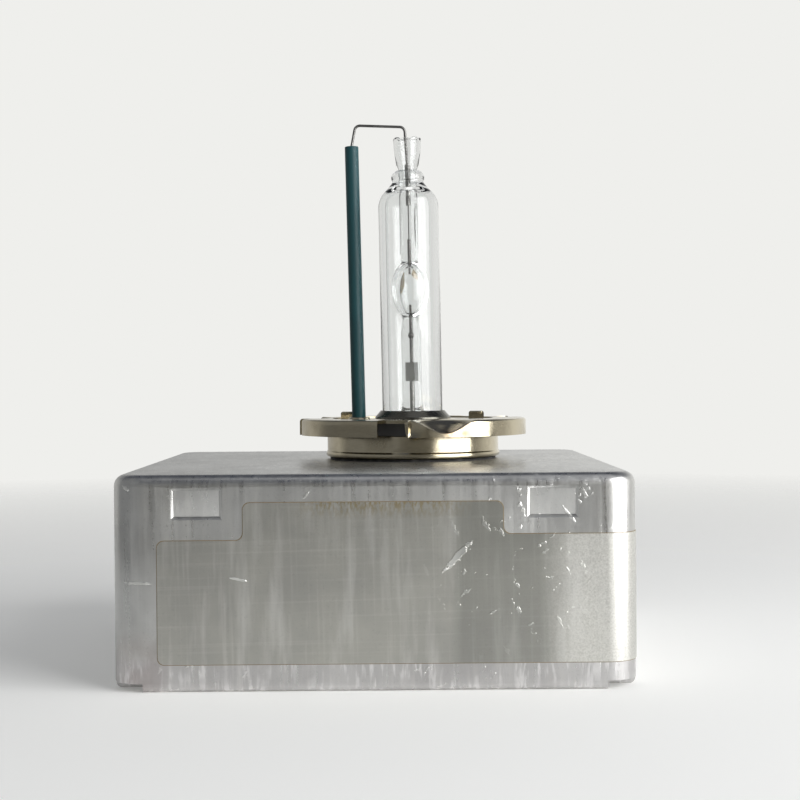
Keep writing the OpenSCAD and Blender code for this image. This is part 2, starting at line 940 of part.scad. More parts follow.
outer_bulb();
discharge_vessel();
upper_electrode();
lower_electrode();
upper_foil();
lower_foil();
upper_lead_wire();
lower_lead_wire();
halide_deposit();
return_wire();
wire_joint_sleeve();
insulating_tube();
cap_ring();
base_cup();
cup_seal();
burner_collar();
burner_clamp_plate();
burner_socket();
hv_contact();
return_terminal();
housing_can();
base_plate();
base_gasket();
rating_label();
connector_body();
connector_pins();
connector_seal();
insulating_sheet();
board_carrier();
thermal_pad();
ballast_board();
igniter_tray();
igniter_core();
igniter_bobbin();
igniter_secondary();
igniter_primary();
spark_gap();
ignition_capacitor();
converter_core();
converter_bobbin();
converter_winding();
choke_core();
choke_winding();
input_capacitor();
output_capacitor();
power_transistors();
controller_chip();
driver_chip();
chip_capacitors();
chip_resistors();
rectifier_diodes();
ground_spring();
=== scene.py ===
"""Builds the looks of a gas-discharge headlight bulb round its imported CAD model.

Sheet metal, glass, wire and mouldings are modelled in millimetres with bmesh and
brought to metres at the end of each piece. Places and outer sizes come from the
CAD nodes. What the CAD model doesn't say is a property of this add-on.
"""

import math
from types import SimpleNamespace

import bmesh
import bpy
from bpy.props import FloatProperty, FloatVectorProperty, IntProperty, PointerProperty
from mathutils import Matrix, Vector


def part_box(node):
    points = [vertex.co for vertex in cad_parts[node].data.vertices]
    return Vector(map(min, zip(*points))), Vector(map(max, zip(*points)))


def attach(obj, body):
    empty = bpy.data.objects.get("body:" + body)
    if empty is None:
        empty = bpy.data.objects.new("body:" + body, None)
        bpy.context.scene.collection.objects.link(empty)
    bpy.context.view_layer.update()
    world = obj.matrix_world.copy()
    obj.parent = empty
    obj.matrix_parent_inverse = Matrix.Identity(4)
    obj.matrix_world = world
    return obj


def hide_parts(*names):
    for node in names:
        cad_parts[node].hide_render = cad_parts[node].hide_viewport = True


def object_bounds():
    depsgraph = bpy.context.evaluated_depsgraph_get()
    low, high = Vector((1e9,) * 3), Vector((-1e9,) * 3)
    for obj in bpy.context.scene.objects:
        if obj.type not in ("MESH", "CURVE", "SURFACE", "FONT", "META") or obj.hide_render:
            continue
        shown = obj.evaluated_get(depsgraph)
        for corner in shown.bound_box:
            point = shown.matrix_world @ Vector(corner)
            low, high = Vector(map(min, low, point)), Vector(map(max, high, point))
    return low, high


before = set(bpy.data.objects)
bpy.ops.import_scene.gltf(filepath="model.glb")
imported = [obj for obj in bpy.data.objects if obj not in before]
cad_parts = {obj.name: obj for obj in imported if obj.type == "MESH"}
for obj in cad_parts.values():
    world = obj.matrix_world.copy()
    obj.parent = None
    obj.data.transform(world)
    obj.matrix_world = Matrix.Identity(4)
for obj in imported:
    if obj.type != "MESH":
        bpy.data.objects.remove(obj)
CAD_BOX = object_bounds()

bl_info = {
    "name": "Discharge Headlight Bulb",
    "version": (1, 0, 0),
    "blender": (4, 5, 0),
    "location": "View3D > Sidebar > Headlight Bulb",
    "description": "Models and finishes a gas-discharge headlight bulb round its frame",
    "category": "Object",
}

MM = 0.001
FRONT = Vector((0, -1, 0))
UP = Vector((0, 0, 1))
FULL_TURN = 2 * math.pi
WELD = 1e-3  # millimetres within which two corners are one


# ---------- sizes and colours ----------


def length(name, description, millimetres):
    return FloatProperty(
        name=name, description=description, default=millimetres * MM, unit="LENGTH"
    )


def degrees(name, description, value):
    return FloatProperty(
        name=name, description=description, default=math.radians(value), subtype="ANGLE"
    )


def linear(code):
    """An sRGB hex colour as linear red, green, blue and alpha."""
    channels = [int(code[i : i + 2], 16) / 255 for i in (1, 3, 5)]
    return (
        *[c / 12.92 if c <= 0.04045 else ((c + 0.055) / 1.055) ** 2.4 for c in channels],
        1.0,
    )


def colour(name, description, code):
    return FloatVectorProperty(
        name=name, description=description, default=linear(code), size=4, subtype="COLOR"
    )


class HousingSizes(bpy.types.PropertyGroup):
    sheet: length("Sheet", "Thickness of the can's sheet", 1.0)
    corner: length("Corner radius", "Radius of the upright corners", 4.0)
    edge: length("Deck edge radius", "Radius along the edge of the deck", 1.5)
    hem_drop: length("Hem drop", "How far the hem reaches below the corners", 1.1)
    hem_length: length("Hem length", "Length of the hem along each side", 58.0)
    hem_fold: length("Hem fold", "How far the hem folds in under the plate", 3.5)
    plate: length("Plate", "Thickness of the base plate", 1.5)
    dish: length("Dish", "Width of the plate's pressed middle", 54.0)
    pocket_out: length("Pocket offset", "From the front's middle to a pocket's", 22.2)
    pocket_width: length("Pocket width", "Width of a pressed pocket", 6.5)
    pocket_top: length("Pocket top", "From the deck down to a pocket's top edge", 1.6)
    pocket_bottom: length("Pocket bottom", "From the deck down to its bottom edge", 5.6)
    pocket_depth: length("Pocket depth", "How deep a pocket is pressed in", 0.5)
    deck_hole: length("Deck hole radius", "Radius of the hole under the cup", 10.0)
    socket_width: length("Socket width", "Width of the supply socket's nose", 22.0)
    socket_height: length("Socket height", "Height of the supply socket's nose", 13.0)
    socket_wall: length("Socket wall", "Wall of the supply socket", 2.0)
    socket_depth: length("Socket depth", "Depth of the supply socket", 11.0)


class LabelSizes(bpy.types.PropertyGroup):
    thickness: length("Thickness", "Thickness of the foil label", 0.12)
    corner: length("Corner radius", "Radius of the label's corners", 0.9)
    glue_edge: length("Glue edge", "How far old glue shows past the label's edge", 0.09)
    left: length("Left edge", "From the front's middle to the left edge", 27.1)
    step_left: length("Left step", "From the front's middle to the left step", 16.4)
    step_right: length("Right step", "From the front's middle to the right step", 16.0)
    shoulder_right: length("Right shoulder", "From the deck down to the right part", 7.6)
    shoulder_left: length("Left shoulder", "From the deck down to the left part", 8.2)


class CapSizes(bpy.types.PropertyGroup):
    sheet: length("Sheet", "Thickness of the cap ring's sheet", 0.5)
    bore: length("Opening radius", "Radius of the cap ring's opening", 12.0)
    rim_round: length("Rim radius", "Radius where the top turns into the rim", 0.45)
    repeats: IntProperty(name="Valleys", description="Valleys round the ring", default=3)
    valley_at: degrees("Valley", "Middle of the first valley, right of the front", 15)
    valley_half: degrees("Valley half width", "Half of a valley's spread", 17)
    valley_depth: length("Valley depth", "Depth of a valley at the rim", 1.9)
    slot_from: degrees("Slot start", "Left edge of the first slot", -18.5)
    slot_to: degrees("Slot end", "Right edge of the first slot", -2.7)
    slot_depth: length("Slot depth", "How far a slot cuts in from the rim", 2.4)
    tab_width: degrees("Tab width", "How far the tab beside a slot spreads", 9)
    tab_in: length("Tab fold", "How far a tab's top leans in", 1.3)
    notch_at: degrees("Key notch", "Middle of the key notch", -80)
    notch_half: degrees("Key notch half width", "Half of the key notch's spread", 4)
    lug_width: length("Lug width", "Width of a clamp plate's lug", 2.3)
    lug_out: length("Lug offset", "From the lamp axis to a lug's middle", 9.75)
    lug_back: length("Lug depth", "From the lamp axis back to the lugs", 4.0)
    collar_foot: length("Collar foot radius", "Radius of the collar at its foot", 5.65)
    collar_top: length("Collar top radius", "Radius of the collar at its top", 4.9)


class BurnerSizes(bpy.types.PropertyGroup):
    lean: degrees("Lean", "Lean of the burner towards the return wire", 0.8)
    jacket_radius: length("Jacket radius", "Outer radius of the glass jacket", 4.5)
    jacket_wall: length("Jacket wall", "Wall of the glass jacket", 1.0)
    shoulder: length("Shoulder height", "Height of the jacket's shoulder", 32.7)
    arc_height: length("Arc height", "Height of the arc's middle", 19.3)
    vessel_radius: length("Vessel radius", "Largest radius of the vessel", 2.8)
    vessel_half: length("Vessel half length", "Half the length of its bulge", 4.35)
    cavity_radius: length("Cavity radius", "Largest radius of the cavity", 1.5)
    cavity_half: length("Cavity half length", "Half the length of the cavity", 3.3)
    stem_radius: length("Upper stem radius", "Radius of the upper stem", 1.4)
    lower_stem: length("Lower stem radius", "Radius of the lower stem", 1.5)
    neck_radius: length("Neck radius", "Radius of the fused neck", 2.5)
    stub_radius: length("Stub radius", "Radius of the open stub at its mouth", 2.1)
    stub_wall: length("Stub wall", "Wall of the open stub", 0.55)
    wire_radius: length("Wire radius", "Radius of the return wire", 0.2)
    wire_bend: length("Wire bend", "Radius of the return wire's bends", 0.8)


class Finishes(bpy.types.PropertyGroup):
    aluminium: colour("Can", "Drawn aluminium of the can", "#CDCDCB")
    foil: colour("Label foil", "Foil of the blank label", "#B9B8B1")
    nickel: colour("Nickel", "Nickel plating of the ring and cup", "#C2B9A2")
    ceramic: colour("Tube", "Fired ceramic of the insulating tube", "#17484D")


class StageSizes(bpy.types.PropertyGroup):
    focal_length: FloatProperty(
        name="Focal length", description="Camera focal length in mm", default=70.2
    )
    camera_x: length("Camera x", "Camera to the right of the lamp axis", -3.34)
    camera_y: length("Camera y", "Camera behind the lamp axis", -233.8)
    camera_z: length("Camera height", "Camera above the cap ring", 5.57)
    yaw: degrees("Yaw", "Turn of the camera to the left", -0.355)
    pitch: degrees("Pitch", "Tilt of the camera downwards", 0.712)
    roll: degrees("Roll", "Roll of the camera", -0.4)


def in_mm(group):
    """A property group's lengths in millimetres, and its other values as they are."""
    values = {}
    for name in group.__annotations__:
        value = getattr(group, name)
        is_length = group.bl_rna.properties[name].unit == "LENGTH"
        values[name] = value / MM if is_length else value
    return SimpleNamespace(**values)


def node_box(node):
    """A CAD node's lowest and highest corners in millimetres."""
    low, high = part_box(node)
    return low / MM, high / MM


# ---------- mesh helpers ----------


def restart_faces(bm):
    """Makes each face anew from its first vertex, in its own direction. Nothing moves."""
    loops = []
    for face in bm.faces:
        ring = list(face.verts)
        first = ring.index(min(ring, key=lambda v: v.index))
        loops.append(ring[first:] + ring[:first])
    bmesh.ops.delete(bm, geom=bm.faces[:], context="FACES_ONLY")
    for ring in loops:
        bm.faces.new(ring)


def settle(bm, restart):
    """Puts vertices, edges and faces in one fixed order, because some operators don't keep one."""
    rank = {v: i for i, v in enumerate(sorted(bm.verts, key=lambda v: tuple(v.co)))}
    bm.verts.sort(key=rank.get)
    bm.verts.index_update()
    if restart:
        restart_faces(bm)
    for parts in (bm.edges, bm.faces):
        corners = {part: sorted(v.index for v in part.verts) for part in parts}
        order = {part: i for i, part in enumerate(sorted(parts, key=corners.get))}
        parts.sort(key=order.get)
    bm.normal_update()


def put(bm, name, material, slot, *stands_for, crease=35, restart=False):
    """Makes a finished piece of a bmesh in millimetres, and gives its place in the model."""
    settle(bm, restart)
    bmesh.ops.scale(bm, vec=(MM, MM, MM), verts=bm.verts)
    for face in bm.faces:
        face.smooth = True
    for edge in bm.edges:
        edge.smooth = len(edge.link_faces) == 2 and edge.calc_face_angle() < math.radians(crease)
    mesh = bpy.data.meshes.new(name)
    bm.to_mesh(mesh)
    bm.free()
    mesh.materials.append(material)
    piece = bpy.data.objects.new(name, mesh)
    bpy.context.scene.collection.objects.link(piece)
    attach(piece, "root")
    if stands_for:
        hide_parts(*stands_for)
    return piece


def once(items):
    """Each item once, in the order in which it first comes, which a set wouldn't keep."""
    return list(dict.fromkeys(items))


def tidy(bm):
    """Closes seams and turns every face outwards."""
    bmesh.ops.remove_doubles(bm, verts=bm.verts, dist=WELD)
    bmesh.ops.recalc_face_normals(bm, faces=bm.faces)


def round_edges(bm, edges, radius, segments=3):
    bmesh.ops.bevel(
        bm, geom=edges, offset=radius, offset_type="OFFSET", segments=segments,
        profile=0.5, affect="EDGES", material=-1, clamp_overlap=True,
    )


def outline_face(bm, points, rounds=()):
    """A flat face through points; rounds pairs a point's number with its corner radius."""
    corners = [bm.verts.new(p) for p in points]
    bm.faces.new(corners)
    for number, radius in rounds:
        bmesh.ops.bevel(
            bm, geom=[corners[number]], offset=radius, offset_type="OFFSET", segments=5,
            profile=0.5, affect="VERTICES", material=-1,
        )


def lathe(section, rounds=(), steps=96, bm=None):
    """A solid turned about the z axis from a half section of (radius, height) points."""
    bm = bm or bmesh.new()
    old = set(bm.verts)
    outline_face(bm, [(r, 0, z) for r, z in section], rounds)
    fresh = [v for v in bm.verts if v not in old]
    faces = once(f for v in fresh for f in v.link_faces)
    bmesh.ops.delete(bm, geom=faces, context="FACES_ONLY")
    edges = once(e for v in fresh for e in v.link_edges)
    axis = [e for e in edges if all(abs(v.co.x) < WELD for v in e.verts)]
    bmesh.ops.delete(bm, geom=axis, context="EDGES")
    fresh = [v for v in bm.verts if v not in old]
    edges = once(e for v in fresh for e in v.link_edges)
    bmesh.ops.spin(
        bm, geom=fresh + edges, cent=(0, 0, 0), axis=UP, dvec=(0, 0, 0),
        angle=FULL_TURN, steps=steps, use_merge=True, use_duplicate=False,
    )
    tidy(bm)
    return bm


def ellipse_arc(radius, half, middle, lowest, highest, steps):
    """Points of an upright ellipse's right side between two heights, bottom to top."""
    first = math.asin(max(-1, (lowest - middle) / half))
    last = math.asin(min(1, (highest - middle) / half))
    angles = [first + (last - first) * i / steps for i in range(steps + 1)]
    return [(radius * math.cos(a), middle + half * math.sin(a)) for a in angles]


def box_into(bm, low, high):
    """Adds a box between two corners and gives its corners back."""
    low, high = Vector(low), Vector(high)
    size = high - low
    at = Matrix.Translation((low + high) / 2) @ Matrix.Diagonal((*size, 1))
    return bmesh.ops.create_cube(bm, size=1, matrix=at)["verts"]


def stepped_block(bm, place, width, height, radius, steps):
    """A block grown from a rounded rectangle, in steps of (taken off width, off height, z)."""
    shape = Matrix.Diagonal((width, height, 1, 1)) @ Matrix.Rotation(math.pi / 4, 4, "Z")
    square = bmesh.ops.create_circle(
        bm, segments=4, radius=math.sqrt(0.5), matrix=place @ shape
    )["verts"]
    made = bmesh.ops.bevel(
        bm, geom=square, offset=radius, offset_type="OFFSET", segments=6,
        profile=0.5, affect="VERTICES", material=-1,
    )
    corners = set(made["verts"])
    edges = [e for e in bm.edges if all(v in corners for v in e.verts)]
    bmesh.ops.contextual_create(bm, geom=edges)
    old_width, old_height, level = width, height, 0
    for off_width, off_height, z in steps:
        grown = bmesh.ops.extrude_edge_only(bm, edges=edges)["geom"]
        edges = [e for e in grown if isinstance(e, bmesh.types.BMEdge)]
        moved = [v for v in grown if isinstance(v, bmesh.types.BMVert)]
        new_width, new_height = width - off_width, height - off_height
        change = Matrix.Diagonal((new_width / old_width, new_height / old_height, 1, 1))
        change = Matrix.Translation((0, 0, z - level)) @ change
        centre = place @ Matrix.Translation((0, 0, level))
        bmesh.ops.transform(bm, matrix=centre @ change @ centre.inverted(), verts=moved)
        old_width, old_height, level = new_width, new_height, z
    bmesh.ops.contextual_create(bm, geom=edges)


def cut_at(bm, faces, point, normal):
    """Slices some faces along a plane, and leaves the rest of the mesh alone."""
    geom = list(faces) + once(e for f in faces for e in f.edges)
    geom += once(v for f in faces for v in f.verts)
    bmesh.ops.bisect_plane(bm, geom=geom, dist=WELD, plane_co=point, plane_no=normal)


def facing(bm, direction):
    return [f for f in bm.faces if f.normal.dot(direction) > 0.999]


def thicken(bm, sheet):
    """Gives the open shell an inner skin and closes its rims."""
    outer = list(bm.faces)
    copy = bmesh.ops.duplicate(bm, geom=bm.verts[:] + bm.edges[:] + bm.faces[:])
    inner = [f for f in copy["geom"] if isinstance(f, bmesh.types.BMFace)]
    inner_set = set(inner)
    pairs = copy["vert_map"]
    bm.normal_update()
    shift = {
        v: v.normal * sheet * min(v.calc_shell_factor(), 1.6)
        for v in once(v for f in outer for v in f.verts)
    }
    for v, offset in shift.items():
        pairs[v].co = v.co - offset
    bmesh.ops.reverse_faces(bm, faces=inner)
    rims = [e for e in bm.edges if len(e.link_faces) == 1]
    outer_rims = [e for e in rims if e.link_faces[0] not in inner_set]
    for edge in outer_rims:
        a, b = edge.verts
        bm.faces.new((a, b, pairs[b], pairs[a]))
    bmesh.ops.recalc_face_normals(bm, faces=bm.faces)


def join(bm, other):
    """Moves another bmesh's faces into this one."""
    part = bpy.data.meshes.new("part")
    other.to_mesh(part)
    other.free()
    bm.from_mesh(part)
    bpy.data.meshes.remove(part)


def leaning(bm, angle):
    """Leans a burner piece towards the return wire."""
    bmesh.ops.rotate(
        bm, cent=(0, 0, 0), matrix=Matrix.Rotation(-angle, 3, "Y"), verts=bm.verts
    )


# ---------- material helpers ----------


def add(tree, kind, inputs=None, **settings):
    """Adds a node, sets it up and links or fills its inputs."""
    node = tree.nodes.new(kind)
    for name, value in settings.items():
        setattr(node, name, value)
    for key, value in (inputs or {}).items():
        socket = node.inputs[key]
        if isinstance(value, bpy.types.NodeSocket):
            tree.links.new(value, socket)
        else:
            socket.default_value = value
    return node


def start(name, base, roughness, metallic=0.0, **sockets):
    """A new material with one Principled shader, and the coordinates of its object."""
    material = bpy.data.materials.new(name)
    material.use_nodes = True
    tree = material.node_tree
    shader = tree.nodes["Principled BSDF"]
    values = {"Base Color": base, "Roughness": roughness, "Metallic": metallic, **sockets}
    for key, value in values.items():
        shader.inputs[key].default_value = value
    place = add(tree, "ShaderNodeTexCoord").outputs["Object"]
    return material, tree, shader, place


def feed(shader, socket, value):
    """Links a pattern to one of a shader's sockets."""
    shader.id_data.links.new(value, shader.inputs[socket])


def fed(shader, socket):
    """The pattern that a shader's socket has now."""
    return shader.inputs[socket].links[0].from_socket


def per_mm(millimetres):
    """Texture scale at which one feature takes up this many millimetres."""
    return 1 / (millimetres * MM)


def speckle(tree, place, size, detail=2.0, stretch=(1, 1, 1), turn=(0, 0, 0)):
    """Noise with features of a size in millimetres, longer where stretch is larger."""
    scale = [1 / s for s in stretch]
    spun = add(tree, "ShaderNodeMapping", {"Vector": place, "Rotation": turn}).outputs[0]
    laid = add(tree, "ShaderNodeMapping", {"Vector": spun, "Scale": scale}).outputs[0]
    return add(
        tree, "ShaderNodeTexNoise",
        {"Vector": laid, "Scale": per_mm(size), "Detail": detail, "Roughness": 0.55},
    ).outputs["Fac"]


def spread(tree, value, low, high, to_low=0.0, to_high=1.0):
    """Maps a value's useful part onto a range, and holds it there."""
    return add(
        tree, "ShaderNodeMapRange",
        {0: value, 1: low, 2: high, 3: to_low, 4: to_high}, clamp=True,
    ).outputs[0]


def times(tree, a, b):
    return add(tree, "ShaderNodeMath", {0: a, 1: b}, operation="MULTIPLY").outputs[0]


def tint(tree, amount, under, over):
    """Lays one colour over another by an amount."""
    return add(
        tree, "ShaderNodeMix", {0: amount, 6: under, 7: over}, data_type="RGBA"
    ).outputs[2]


def relief(tree, height, millimetres, strength=1.0, below=None):
    """A bump of a depth in millimetres, over another bump if there is one."""
    inputs = {"Height": height, "Strength": strength, "Distance": millimetres * MM}
    if below:
        inputs["Normal"] = below
    return add(tree, "ShaderNodeBump", inputs).outputs[0]


def mark(tree, place, at, length, width, turn):
    """One oval mark on a face seen from the front: its middle, size and slope in millimetres."""
    spun = add(
        tree, "ShaderNodeMapping",
        {
            "Vector": place, "Location": at * MM, "Rotation": (0, turn, 0),
            "Scale": (length / 2 * MM, 1.2 * MM, width / 2 * MM),
        },
        vector_type="TEXTURE",
    ).outputs[0]
    away = add(tree, "ShaderNodeVectorMath", {0: spun}, operation="LENGTH").outputs["Value"]
    ragged = spread(tree, speckle(tree, place, 0.5, 3.0), 0.3, 0.7, -0.35, 0.35)
    edge = add(tree, "ShaderNodeMath", {0: away, 1: ragged}, operation="ADD").outputs[0]
    return spread(tree, edge, 0.8, 1.1, 1.0, 0.0)


def nicks(tree, place, spacing, share, turn):
    """Short handling nicks: the middles of some cells of a stretched, ragged pattern."""
    ragged = add(
        tree, "ShaderNodeTexNoise", {"Vector": place, "Scale": per_mm(0.7), "Detail": 2.0}
    ).outputs["Color"]
    bent = add(
        tree, "ShaderNodeVectorMath", {0: ragged, 1: (0.0012,) * 3, 2: place},
        operation="MULTIPLY_ADD",
    ).outputs[0]
    spun = add(tree, "ShaderNodeMapping", {"Vector": bent, "Rotation": turn}).outputs[0]
    laid = add(tree, "ShaderNodeMapping", {"Vector": spun, "Scale": (1, 1, 0.22)}).outputs[0]
    cells = add(tree, "ShaderNodeTexVoronoi", {"Vector": laid, "Scale": per_mm(spacing)}).outputs
    picked = spread(tree, cells["Color"], 1 - share, 1.001 - share)
    return times(tree, spread(tree, cells["Distance"], 0.16, 0.24, 1.0, 0.0), picked)


def most(tree, values):
    """The largest of several values."""
    top = values[0]
    for value in values[1:]:
        top = add(tree, "ShaderNodeMath", {0: top, 1: value}, operation="MAXIMUM").outputs[0]
    return top


def around(tree, place, at, inner, outer):
    """1 within one distance of a point, falling to 0 at another."""
    away = add(
        tree, "ShaderNodeVectorMath", {0: place, 1: at * MM}, operation="DISTANCE"
    ).outputs["Value"]
    return spread(tree, away, inner * MM, outer * MM, 1.0, 0.0)


# ---------- materials ----------


def worn_aluminium(name, base, oval_marks, worn_at, stain_at, weave):
    """Drawn aluminium sheet or foil: satin, streaked downwards, gritty, nicked by handling, and lightened at
    listed oval marks, which are dents and, on the can, one painted highlight.
    """
    material, tree, shader, place = start(name, base, 0.3, 1.0)
    # Real die lines are finer: 0.45 mm apart is as fine as shows.
    fine = speckle(tree, place, 0.45, 1.0, (1, 1, 40), (0.01, 0.02, 0.3))
    across = speckle(tree, place, 0.45, 1.0, (40, 40, 1), (0.01, 0.02, 0.3))
    streak = speckle(tree, place, 1.8, 3.0, (1, 1, 9))
    haze = speckle(tree, place, 9, 4.0)
    grit = speckle(tree, place, 0.3, 1.0, turn=(0.4, 0.7, 0.3))
    worn = most(tree, [around(tree, place, at, 3, reach) for at, reach in worn_at])
    # Nicks and oval marks, among them the can's painted highlight under its top-left deck edge.
    cuts = most(tree, [
        times(tree, nicks(tree, place, 1.2, 0.5, (0, 0.5, 0)), worn),
        times(tree, nicks(tree, place, 0.9, 0.5, (0, -0.9, 0)), worn),
        nicks(tree, place, 1.6, 0.05, (0, 0.8, 0)),
        *[mark(tree, place, *oval_mark) for oval_mark in oval_marks],
    ])
    hazed = tint(tree, spread(tree, haze, 0.4, 0.66, 0.0, 0.4), base, linear("#9B9A98"))
    lined = tint(tree, spread(tree, streak, 0.5, 0.72, 0.0, 0.45), hazed, linear("#E2E1DD"))
    combed = tint(tree, spread(tree, fine, 0.55, 0.8, 0.0, 0.16), lined, linear("#E8E7E2"))
    crossed = tint(tree, spread(tree, across, 0.55, 0.8, 0.0, 0.14 * weave), combed, linear("#E8E7E2"))
    gritty = tint(tree, spread(tree, grit, 0.6, 0.75, 0.0, 0.12), crossed, linear("#7D7D7F"))
    browned = times(tree, around(tree, place, stain_at, 1, 5), spread(tree, haze, 0.35, 0.6, 0.2, 0.7))
    stained = tint(tree, browned, gritty, linear("#8D7A74"))
    bright_nicks_and_marks = tint(tree, times(tree, cuts, 0.8), stained, linear("#ECECE8"))
    feed(shader, "Base Color", bright_nicks_and_marks)
    wiped = add(
        tree, "ShaderNodeMath", {0: fine, 1: times(tree, across, weave)}, operation="ADD"
    ).outputs[0]
    feed(shader, "Roughness", spread(tree, wiped, 0.4, 0.6 + weave / 2, 0.27, 0.37))
    pits = relief(tree, grit, 0.008)
    feed(shader, "Normal", relief(tree, cuts, 0.05, 1.0, pits))
    return material, tree, shader, place


def glued_foil(name, base, oval_marks, worn_at, stain_at, glue_height):
    """Aluminium label foil, wiped in two directions, with old glue along its top edge, a painted dark
    reflection across its middle and a painted highlight towards its right end.
    """
    material, tree, shader, place = worn_aluminium(name, base, oval_marks, worn_at, stain_at, 1.0)
    under = fed(shader, "Base Color")
    height = add(tree, "ShaderNodeSeparateXYZ", {0: place}).outputs
    edge = spread(tree, height["Z"], (glue_height - 2.2) * MM, glue_height * MM)
    middle = spread(tree, height["X"], 2 * MM, 7 * MM, 1.0, 0.0)
    inner = spread(tree, height["X"], -16 * MM, -11 * MM)
    ragged = speckle(tree, place, 0.6, 4.0, (0.6, 1, 1.6))
    glue = times(tree, times(tree, edge, spread(tree, ragged, 0.42, 0.6)), times(tree, middle, inner))
    # Painted dark reflection: a darker band across the label's middle.
    painted_dark_reflection = times(
        tree, spread(tree, height["X"], 4 * MM, 5.5 * MM), spread(tree, height["X"], 19 * MM, 16 * MM)
    )
    darker = tint(tree, times(tree, painted_dark_reflection, 0.42), under, linear("#7F807B"))
    # Painted highlight: the label grows lighter towards its right end, in coarse specks.
    coarse = speckle(tree, place, 0.22, 2.0)
    painted_highlight_end = times(
        tree, spread(tree, height["X"], 15 * MM, 20 * MM), spread(tree, coarse, 0.25, 0.75, 0.35, 1.0)
    )
    lighter = tint(tree, times(tree, painted_highlight_end, 0.7), darker, linear("#F6F5F0"))
    glued = tint(tree, times(tree, glue, 0.85), lighter, linear("#A3926A"))
    feed(shader, "Base Color", glued)
    return material


def scuff_hem(tree, shader, place, low, band):
    """Scuffs the strip along the hem: upright pale scratches over a faint mauve tint of the whole strip."""
    under = fed(shader, "Base Color")
    height = add(tree, "ShaderNodeSeparateXYZ", {0: place}).outputs["Z"]
    strip = spread(tree, height, (low + band) * MM, (low + band - 1.2) * MM)
    # Tints the hem strip a faint mauve.
    haze = tint(tree, times(tree, strip, 0.18), under, linear("#B9B0B8"))
    scratch = spread(tree, speckle(tree, place, 0.7, 3.0, (1, 1, 7)), 0.5, 0.62)
    patch = spread(tree, speckle(tree, place, 4.0, 2.0), 0.4, 0.6)
    pale = times(tree, times(tree, scratch, patch), times(tree, strip, 0.6))
    feed(shader, "Base Color", tint(tree, pale, haze, linear("#F4F2F2")))
    feed(shader, "Normal", relief(tree, pale, 0.03, 1.0, fed(shader, "Normal")))


def nickel_plate(name, base, weld_spots=()):
    """Nickel-plated steel: a warm mirror with a fine orange peel, and browned at its welds."""
    material, tree, shader, place = start(name, base, 0.16, 1.0)
    peel = speckle(tree, place, 1.4, 2.0)
    stain = speckle(tree, place, 3.5, 4.0)
    dust = speckle(tree, place, 0.3, 2.0)
    finish = tint(tree, spread(tree, stain, 0.45, 0.7, 0.0, 0.45), base, linear("#9C917A"))
    for spot in weld_spots:
        heat = times(tree, around(tree, place, spot, 1, 3), spread(tree, stain, 0.3, 0.6))
        finish = tint(tree, heat, finish, linear("#6B4A2B"))
    feed(shader, "Base Color", finish)
    feed(shader, "Roughness", spread(tree, stain, 0.35, 0.75, 0.12, 0.3))
    wavy = relief(tree, peel, 0.02)
    feed(shader, "Normal", relief(tree, dust, 0.004, 0.6, wavy))
    return material


def fused_quartz(name, roughness=0.0):
    """Fused quartz, drawn and fire-polished: clear, with long soft ripples from drawing."""
    material, tree, shader, place = start(
        name, linear("#FBFCFC"), roughness, **{"Transmission Weight": 1.0, "IOR": 1.458}
    )
    ripple = speckle(tree, place, 2.2, 1.0, (1, 1, 7))
    feed(shader, "Normal", relief(tree, ripple, 0.03))
    return material


def fired_ceramic(name, base, dark, grain=0.25):
    """Extruded and fired ceramic: matte, with a fine grain and faint draw lines."""
    material, tree, shader, place = start(name, base, 0.5, **{"Specular IOR Level": 0.45})
    fine = speckle(tree, place, grain, 3.0)
    cloud = speckle(tree, place, 4, 3.0, (1, 1, 3))
    clouded = tint(tree, spread(tree, cloud, 0.35, 0.7, 0.0, 0.7), base, dark)
    dotted = tint(tree, spread(tree, fine, 0.62, 0.75, 0.0, 0.5), clouded, dark)
    feed(shader, "Base Color", dotted)
    feed(shader, "Roughness", spread(tree, fine, 0.3, 0.7, 0.42, 0.6))
    feed(shader, "Normal", relief(tree, fine, 0.012))
    return material


def drawn_wire(name, code, roughness=0.35):
    """Drawn refractory or nickel wire: grey, with lines along its length."""
    material, tree, shader, place = start(name, linear(code), roughness, 1.0)
    lines = speckle(tree, place, 0.06, 2.0, (1, 1, 12))
    oxide = speckle(tree, place, 0.9, 3.0)
    shade = tint(tree, spread(tree, oxide, 0.45, 0.7, 0.0, 0.5), linear(code), linear("#3A3836"))
    feed(shader, "Base Color", shade)
    feed(shader, "Roughness", spread(tree, lines, 0.3, 0.7, roughness - 0.1, roughness + 0.15))
    feed(shader, "Normal", relief(tree, lines, 0.004))
    return material


def rolled_metal(name, code, roughness, grain=0.3):
    """Rolled and stamped sheet, with the mill's grain along it."""
    material, tree, shader, place = start(name, linear(code), roughness, 1.0)
    lines = speckle(tree, place, grain, 2.0, (18, 1, 1))
    cloud = speckle(tree, place, 6, 3.0)
    shade = tint(tree, spread(tree, cloud, 0.4, 0.7, 0.0, 0.35), linear(code), linear("#6E6E6C"))
    feed(shader, "Base Color", shade)
    feed(shader, "Roughness", spread(tree, lines, 0.3, 0.7, roughness - 0.07, roughness + 0.09))
    feed(shader, "Normal", relief(tree, lines, 0.006))
    return material


def moulded_plastic(name, code, roughness=0.5, grain=0.4):
    """Injection-moulded plastic with a fine spark-eroded grain."""
    base = linear(code)
    material, tree, shader, place = start(name, base, roughness)
    fine = speckle(tree, place, grain, 2.0)
    cloud = speckle(tree, place, 7, 2.0)
    paler = tuple(min(1.0, c * 1.3 + 0.004) for c in base[:3]) + (1.0,)
    clouded = tint(tree, spread(tree, cloud, 0.35, 0.7, 0.0, 0.6), base, paler)
    feed(shader, "Base Color", clouded)
    feed(shader, "Roughness", spread(tree, fine, 0.3, 0.7, roughness - 0.08, roughness + 0.1))
    feed(shader, "Normal", relief(tree, fine, 0.01))
    return material


